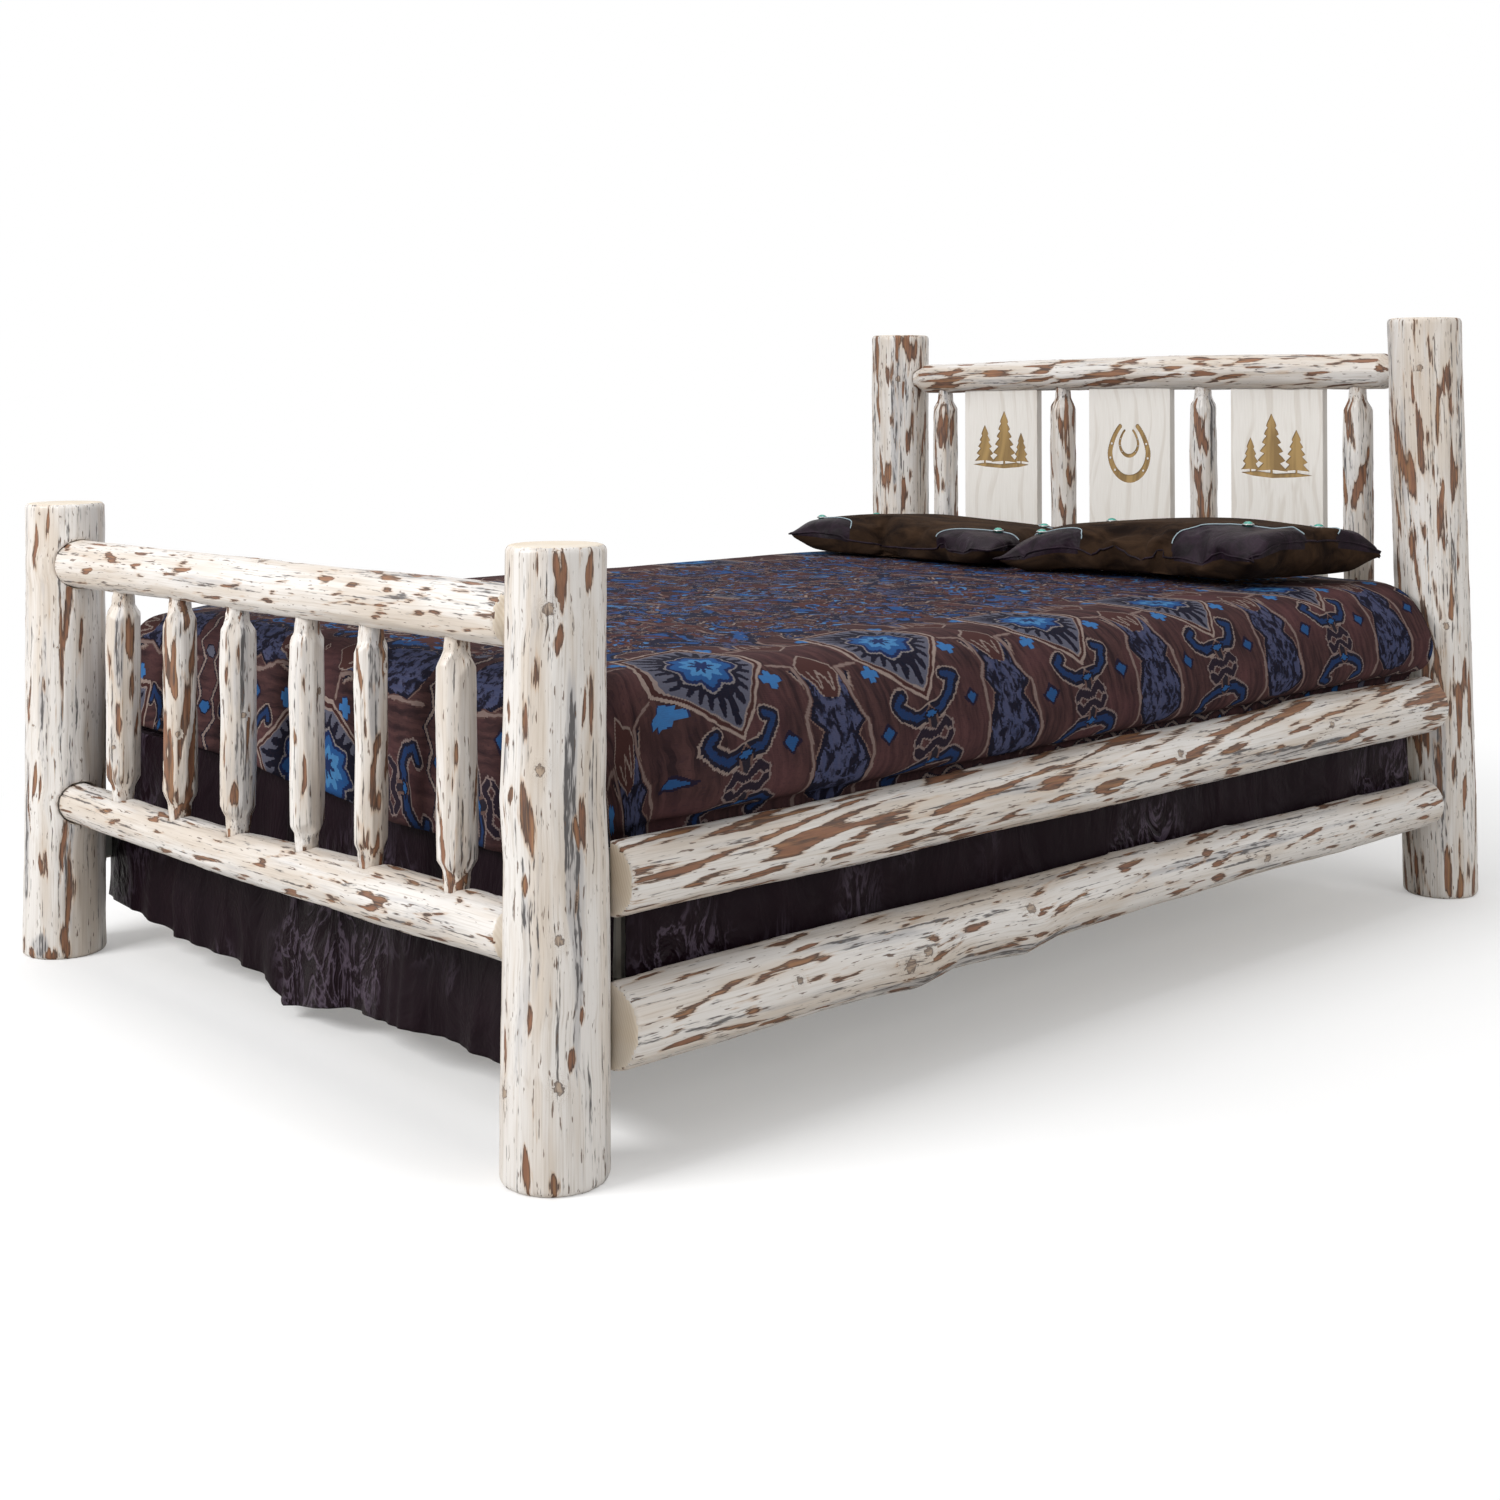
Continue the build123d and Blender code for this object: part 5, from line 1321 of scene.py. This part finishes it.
rings = []
for k in range(1, drops + 1):
    v = k / drops
    # side: out in a puff, in over the rail, then down behind it
    if k <= drops - tucked:
        z_side = rim_z + (on_rail - rim_z) * side_fall[k]
        free = sin(pi * min(k / (drops - tucked), 1)) ** 0.6
        out_side = side_out[k] * (1 + 0.05 * at_head * free)
    else:
        z_side = on_rail - 0.0065 * (k - drops + tucked)
        free = 0
        out_side = 0.0825
    crush = noise_at(rim_run / 0.13, v * 2.6, 5.0)
    finer = noise_at(rim_run / 0.05 + v * 1.3, v * 6.0, 8.0)
    heap = np.sin(26 * v + 3.1 * stretch + 2.2 * noise_at(stretch / 0.06, v * 4, 2.0))
    out_side = out_side + free * (
        0.0045 * side_fold + 0.006 * crush + 0.0025 * finer
        + bunched * (0.009 * heap * smoothstep(v, 0.35, 0.6) + 0.006 * finer)
    )
    # foot: over the edge and straight down, in shallow folds that open towards the hem
    z_foot = rim_z + (hem - rim_z) * foot_fall[k]
    out_foot = foot_out[k] + smoothstep(v, 0.12, 0.95) * (
        0.006 + 0.0095 * foot_fold + 0.009 * finer * smoothstep(np.abs(rim_x), 0.3, 0.6)
        + 0.005 * crush
    )
    out_foot = np.clip(out_foot, 0, np.where(np.abs(rim_x) > 0.62, 0.0815, 0.1))
    out_foot = np.where(v > 0.3, np.maximum(out_foot, 0.0755), out_foot)
    out = out_side * (1 - on_foot) + out_foot * on_foot
    # the foot corner on the right, where the two meet, is heaped up in small folds
    heaped = 4 * on_foot * (1 - on_foot) * (rim_x > 0) * smoothstep(v, 0.35, 0.7)
    out = out + heaped * (0.007 + 0.006 * heap)
    rings.append(np.stack([
        rim_x + out_x * out, rim_y + out_y * out, z_side * (1 - on_foot) + z_foot * on_foot,
    ], axis=1))

top_rows = np.stack([plan_x, plan_y, top_z], axis=1)
spread_rows = np.concatenate([top_rows, *rings])
# where each point lies on the flat cloth: along the bed and across it
flat_s, flat_t = [top_y], [top_x]
fallen = np.zeros(len(rim_at))
last = top_rows[rim_at]
for ring in rings:
    fallen = fallen + np.linalg.norm(ring - last, axis=1)
    last = ring
    flat_s.append(top_y[rim_at] - fallen * on_foot)
    flat_t.append(top_x[rim_at] + np.sign(rim_x) * fallen * (1 - on_foot))
flat_s, flat_t = np.concatenate(flat_s), np.concatenate(flat_t)

faces = []
for j in range(lines):
    for i in range(columns):
        a = j * (columns + 1) + i
        faces.append((a, a + 1, a + columns + 2, a + columns + 1))
count = len(rim_at)
above = rim_at
for k in range(drops):
    base = len(plan_x) + k * count
    below = np.arange(base, base + count)
    for c in range(count - 1):
        faces.append(tuple(int(p) for p in (above[c + 1], above[c], below[c], below[c + 1])))
    above = below

spread_mesh = bpy.data.meshes.new("bedspread_cloth")
spread_mesh.from_pydata(spread_rows.tolist(), [], faces)
bedspread = bpy.data.objects.new("bedspread_cloth", spread_mesh)
bpy.context.scene.collection.objects.link(bedspread)
laid_map = spread_mesh.uv_layers.new(name="cloth")
corner_of = np.empty(len(spread_mesh.loops), int)
spread_mesh.loops.foreach_get("vertex_index", corner_of)
laid_map.data.foreach_set("uv", np.stack([flat_s[corner_of], flat_t[corner_of]], axis=1).ravel())
pick(bedspread)
bpy.ops.object.mode_set(mode="EDIT")
bpy.ops.mesh.select_all(action="SELECT")
bpy.ops.mesh.normals_make_consistent(inside=False)
bpy.ops.object.mode_set(mode="OBJECT")
work_in(bedspread, "SOLIDIFY", thickness=SPREAD_THICK, offset=-1)
bpy.ops.object.shade_smooth()
bedspread.data.materials.append(tapestry)
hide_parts("bedspread")
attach(bedspread, "mattress_set")


# ---- Pillows ----
# Two flat bags of dark brown suede, sewn round the edge and stuffed, with smooth leather yokes
# on their corners. A pale cord is couched along each yoke's edge, with a turquoise stud on it.

suede = new_material("brown_suede")
place = add(suede, "TexCoord").outputs["Object"]
stroked = drawn_out(suede, place, (9, 20, 20), 5, 0.62, 0.7)
nap = add(suede, "TexNoise", {"Vector": place, "Scale": 1400, "Detail": 2})
tone = wash(suede, "#1A120F", "#3D2D21", stroked, 0.36, 0.68, ease="LINEAR")
relief = add(suede, "Math", (nap, 0.06, stroked), operation="MULTIPLY_ADD")
finish(suede, tone, 0.9, relief, 0.008, 0.5, {
    "Sheen Weight": 0.08, "Sheen Roughness": 0.4, "Sheen Tint": "#8A6F5C",
    "Specular IOR Level": 0.06,
})

yoke_hide = new_material("plum_yoke_leather")
place = add(yoke_hide, "TexCoord").outputs["Object"]
crease = add(yoke_hide, "TexNoise", {
    "Vector": place, "Scale": 26, "Detail": 5, "Roughness": 0.6, "Distortion": 1.1,
})
pebble = add(yoke_hide, "TexVoronoi", {"Vector": place, "Scale": 620})
tone = wash(yoke_hide, "#170F15", "#2B1E29", crease, 0.4, 0.68, ease="LINEAR")
relief = add(yoke_hide, "Math", (pebble, 0.05, crease), operation="MULTIPLY_ADD")
finish(yoke_hide, tone, 0.44, relief, 0.006, 0.6, {"Specular IOR Level": 0.1})

couched_cord = new_material("pale_couched_cord")
place = add(couched_cord, "TexCoord").outputs["Object"]
twist = add(couched_cord, "TexNoise", {"Vector": place, "Scale": 700, "Detail": 1})
tone = add(couched_cord, "Mix", {
    "Factor": twist, "A": "#7E949E", "B": "#AEBFC6",
}, data_type="RGBA")
finish(couched_cord, tone, 0.6)

turquoise = new_material("turquoise_stone")
place = add(turquoise, "TexCoord").outputs["Object"]
veins = add(turquoise, "TexNoise", {"Vector": place, "Scale": 260, "Detail": 4})
tone = wash(turquoise, "#2FA08E", "#1F6F68", veins, 0.5, 0.6, ease="LINEAR")
finish(turquoise, tone, 0.22, more={"IOR": 1.6, "Coat Weight": 0.4})

silver = new_material("dull_silver_rim")
place = add(silver, "TexCoord").outputs["Object"]
worn = add(silver, "TexNoise", {"Vector": place, "Scale": 300, "Detail": 3})
dull = add(silver, "MapRange", {"Value": worn, "To Min": 0.25, "To Max": 0.45})
finish(silver, "#A9ACAC", dull, more={"Metallic": 1})

# Where each cushion's corners lie on the bed (front left, front right, back right, back left),
# its height, and the edges of its yokes on the flat bag from its middle, each with the count
# of the point that has the stud. Metres.
BACK_YOKE = (
    (0.225, 0.25), (0.232, 0.18), (0.25, 0.13), (0.29, 0.1), (0.335, 0.1), (0.4, 0.07),
)
BACK_YOKES = ((BACK_YOKE, 3), (tuple((-p, q) for p, q in BACK_YOKE), 3))
CUSHIONS = {
    "pillow_left": (
        ((-0.692, 0.648), (-0.012, 0.618), (-0.014, 1.034), (-0.738, 1.028)), 0.104, (
            (((-0.19, -0.25), (-0.192, -0.2), (-0.205, -0.165), (-0.25, -0.142),
              (-0.322, -0.128), (-0.4, -0.1)), 4),
            (((0.17, -0.25), (0.172, -0.2), (0.192, -0.16), (0.245, -0.128), (0.305, -0.105),
              (0.35, -0.092), (0.4, -0.086)), 4),
            *BACK_YOKES,
        ),
    ),
    "pillow_right": (
        ((0.006, 0.618), (0.655, 0.636), (0.735, 1.016), (0.012, 1.034)), 0.122, (
            (((-0.163, -0.25), (-0.165, -0.2), (-0.182, -0.166), (-0.24, -0.15),
              (-0.318, -0.13), (-0.4, -0.11)), 4),
            (((0.115, -0.25), (0.112, -0.18), (0.135, -0.12), (0.18, -0.085), (0.225, -0.062),
              (0.29, -0.048), (0.345, -0.036), (0.4, -0.03)), 4),
            *BACK_YOKES,
        ),
    ),
}
BAG_W, BAG_D = 0.785, 0.478
ACROSS, DEEP = 88, 54
SEAM_MARGIN, YOKE_LIMIT = 0.012, 0.02
CORD_RADIUS, WELT_RADIUS, STUD_RADIUS, BAND_RADIUS = 0.0012, 0.0022, 0.0105, 0.0108
bag_u, bag_v = (grid.ravel() for grid in np.meshgrid(
    np.linspace(-BAG_W / 2, BAG_W / 2, ACROSS + 1), np.linspace(-BAG_D / 2, BAG_D / 2, DEEP + 1)
))


def stuffed_bag(name, seed):
    """Two rectangles of cloth sewn round the edge and blown up, with a seam all round."""
    swell = (1 - (2 * bag_u / BAG_W) ** 2) * (1 - (2 * bag_v / BAG_D) ** 2)
    lens = np.sqrt(np.clip(swell, 0, 1)) * 0.022
    limp = 0.004 * noise_at(bag_u * 9, bag_v * 9, seed)
    top = np.stack([bag_u, bag_v, lens + limp * (lens > 0)], axis=1)
    inner = lens > 0.0001
    low_index = np.arange(len(bag_u))
    low_index[inner] = len(bag_u) + np.arange(inner.sum())
    under = np.stack([bag_u, bag_v, -lens + limp], axis=1)[inner]
    faces = []
    for j in range(DEEP):
        for i in range(ACROSS):
            a = j * (ACROSS + 1) + i
            ring = (a, a + 1, a + ACROSS + 2, a + ACROSS + 1)
            faces.append(ring)
            faces.append(tuple(int(low_index[p]) for p in ring[::-1]))
    mesh = bpy.data.meshes.new(name)
    mesh.from_pydata(np.concatenate([top, under]).tolist(), [], faces)
    bag = bpy.data.objects.new(name, mesh)
    bpy.context.scene.collection.objects.link(bag)
    pick(bag)
    cloth = bag.modifiers.new("cloth", "CLOTH")
    cloth.settings.quality = 7
    cloth.settings.mass = 0.4
    cloth.settings.tension_stiffness = 60
    cloth.settings.compression_stiffness = 60
    cloth.settings.shear_stiffness = 25
    cloth.settings.bending_stiffness = 1.2
    cloth.settings.use_pressure = True
    cloth.settings.uniform_pressure_force = 4
    cloth.settings.effector_weights.gravity = 0
    cloth.point_cache.frame_start = 1
    cloth.point_cache.frame_end = 40
    for frame_number in range(1, 41):
        bpy.context.scene.frame_set(frame_number)
    bpy.ops.object.modifier_apply(modifier="cloth")
    bpy.context.scene.frame_set(1)
    return bag


for node, (plan, height, yokes) in CUSHIONS.items():
    low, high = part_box(node)
    side = 1 if "right" in node else -1
    bag = stuffed_bag(node + "_cushion", side + 5)
    rows = points(bag)
    # fitted to its corners and height, and settled on the mattress: flat below
    rows -= (rows.max(axis=0) + rows.min(axis=0)) / 2
    rows /= rows.max(axis=0)
    p, q = rows[:, X], rows[:, Y]
    full = np.sign(rows[:, Z]) * np.abs(rows[:, Z]) ** 0.45
    full *= 1 - 0.7 * smoothstep(np.abs(p * q), 0.6, 1)
    lean = 1 + 0.13 * p if side > 0 else 1 - 0.12 * smoothstep(p, -0.5, 1)
    rows[:, Z] = full * (height + 0.006) / 2 * np.where(full > 0, lean, 1)
    rows[:, Z] += 0.005 * noise_at(p * 1.2, q * 0.8, side + 2.0)
    under = -height / 3
    rows[:, Z] = np.where(rows[:, Z] < under, under + 0.35 * (rows[:, Z] - under), rows[:, Z])
    if side > 0:
        # its front left corner lies down in front of the other cushion
        rows[:, Z] -= 0.03 * smoothstep(-p, 0.45, 1) * smoothstep(-q, 0.1, 1)
        # and its seam is carried up along its right side
        rows[:, Z] += 0.022 * smoothstep(p, 0.75, 1) * (1 - q ** 2)
    weights = [(1 - p) * (1 - q), (1 + p) * (1 - q), (1 + p) * (1 + q), (1 - p) * (1 + q)]
    for axis in (X, Y):
        rows[:, axis] = sum(w * corner[axis] for w, corner in zip(weights, plan)) / 4
    rows[:, Z] += low.z + 0.0015 - rows[:, Z].min()
    rows[:, Z] = np.minimum(rows[:, Z], high.z + 0.004)
    keep_points(bag, rows)
    top_rows, normals = (
        found[:len(bag_u)].reshape(DEEP + 1, ACROSS + 1, 3)
        for found in (rows, points(bag, "normal"))
    )

    def on_top(u, v, above):
        """The place over the finished cushion of a point of the flat bag's top."""
        i = np.clip((u / BAG_W + 0.5) * ACROSS, 0, ACROSS - 1e-6)
        j = np.clip((v / BAG_D + 0.5) * DEEP, 0, DEEP - 1e-6)
        i0, j0 = int(i), int(j)
        fi, fj = i - i0, j - j0
        mix = [
            (grid[j0, i0] * (1 - fi) + grid[j0, i0 + 1] * fi) * (1 - fj)
            + (grid[j0 + 1, i0] * (1 - fi) + grid[j0 + 1, i0 + 1] * fi) * fj
            for grid in (top_rows, normals)
        ]
        return Vector(mix[0] + mix[1] * above)

    yoke = np.full(len(rows), -YOKE_LIMIT)
    cords, studs = [], []
    for line, stud_at in yokes:
        edge = drawn_through(line)
        beyond = (0.41 * np.sign(line[-1][0]), 0.26 * np.sign(line[0][1]))
        depth = inside_of([*edge.tolist(), beyond], bag_u, bag_v)
        yoke[:len(bag_u)] = np.maximum(
            yoke[:len(bag_u)], np.clip(depth, -YOKE_LIMIT, YOKE_LIMIT)
        )
        path = [
            on_top(u, v, 0.001) for u, v in edge
            if abs(u) < BAG_W / 2 - SEAM_MARGIN and abs(v) < BAG_D / 2 - SEAM_MARGIN
        ]
        cords.append(piping("cord", path, CORD_RADIUS, couched_cord, False))
        studs.append(on_top(*line[stud_at], 0.003))
    keep_attribute(bag, "yoke", yoke)
    pick(bag)
    work_in(bag, "SUBSURF", levels=1)
    bpy.ops.object.shade_smooth()
    bag.data.materials.append(suede)
    bag.data.materials.append(yoke_hide)
    at = np.empty(len(bag.data.vertices))
    bag.data.attributes["yoke"].data.foreach_get("value", at)
    for face in bag.data.polygons:
        if sum(at[p] for p in face.vertices) > 0:
            face.material_index = 1
    border = (
        [(i, 0) for i in range(ACROSS)] + [(ACROSS, j) for j in range(DEEP)]
        + [(i, DEEP) for i in range(ACROSS, 0, -1)] + [(0, j) for j in range(DEEP, 0, -1)]
    )
    seam = [Vector(top_rows[j, i]) for i, j in border]
    sewn_on = [piping("welt", seam, WELT_RADIUS, yoke_hide), *cords]
    for place in studs:
        bpy.ops.mesh.primitive_uv_sphere_add(
            segments=20, ring_count=12, radius=STUD_RADIUS, location=place
        )
        bpy.context.object.scale = (1, 1, 0.62)
        sewn_on.append(bpy.context.object)
        bpy.ops.mesh.primitive_torus_add(
            major_radius=BAND_RADIUS, minor_radius=0.0019, major_segments=28, minor_segments=8,
            location=place,
        )
        sewn_on.append(bpy.context.object)
        for made, material in zip(sewn_on[-2:], (turquoise, silver)):
            pick(made)
            bpy.ops.object.transform_apply(location=True, rotation=True, scale=True)
            bpy.ops.object.shade_smooth()
            made.data.materials.append(material)
    join_to(bag, sewn_on)
    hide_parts(node)
    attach(bag, node.replace("pillow_", "") + "_pillow")
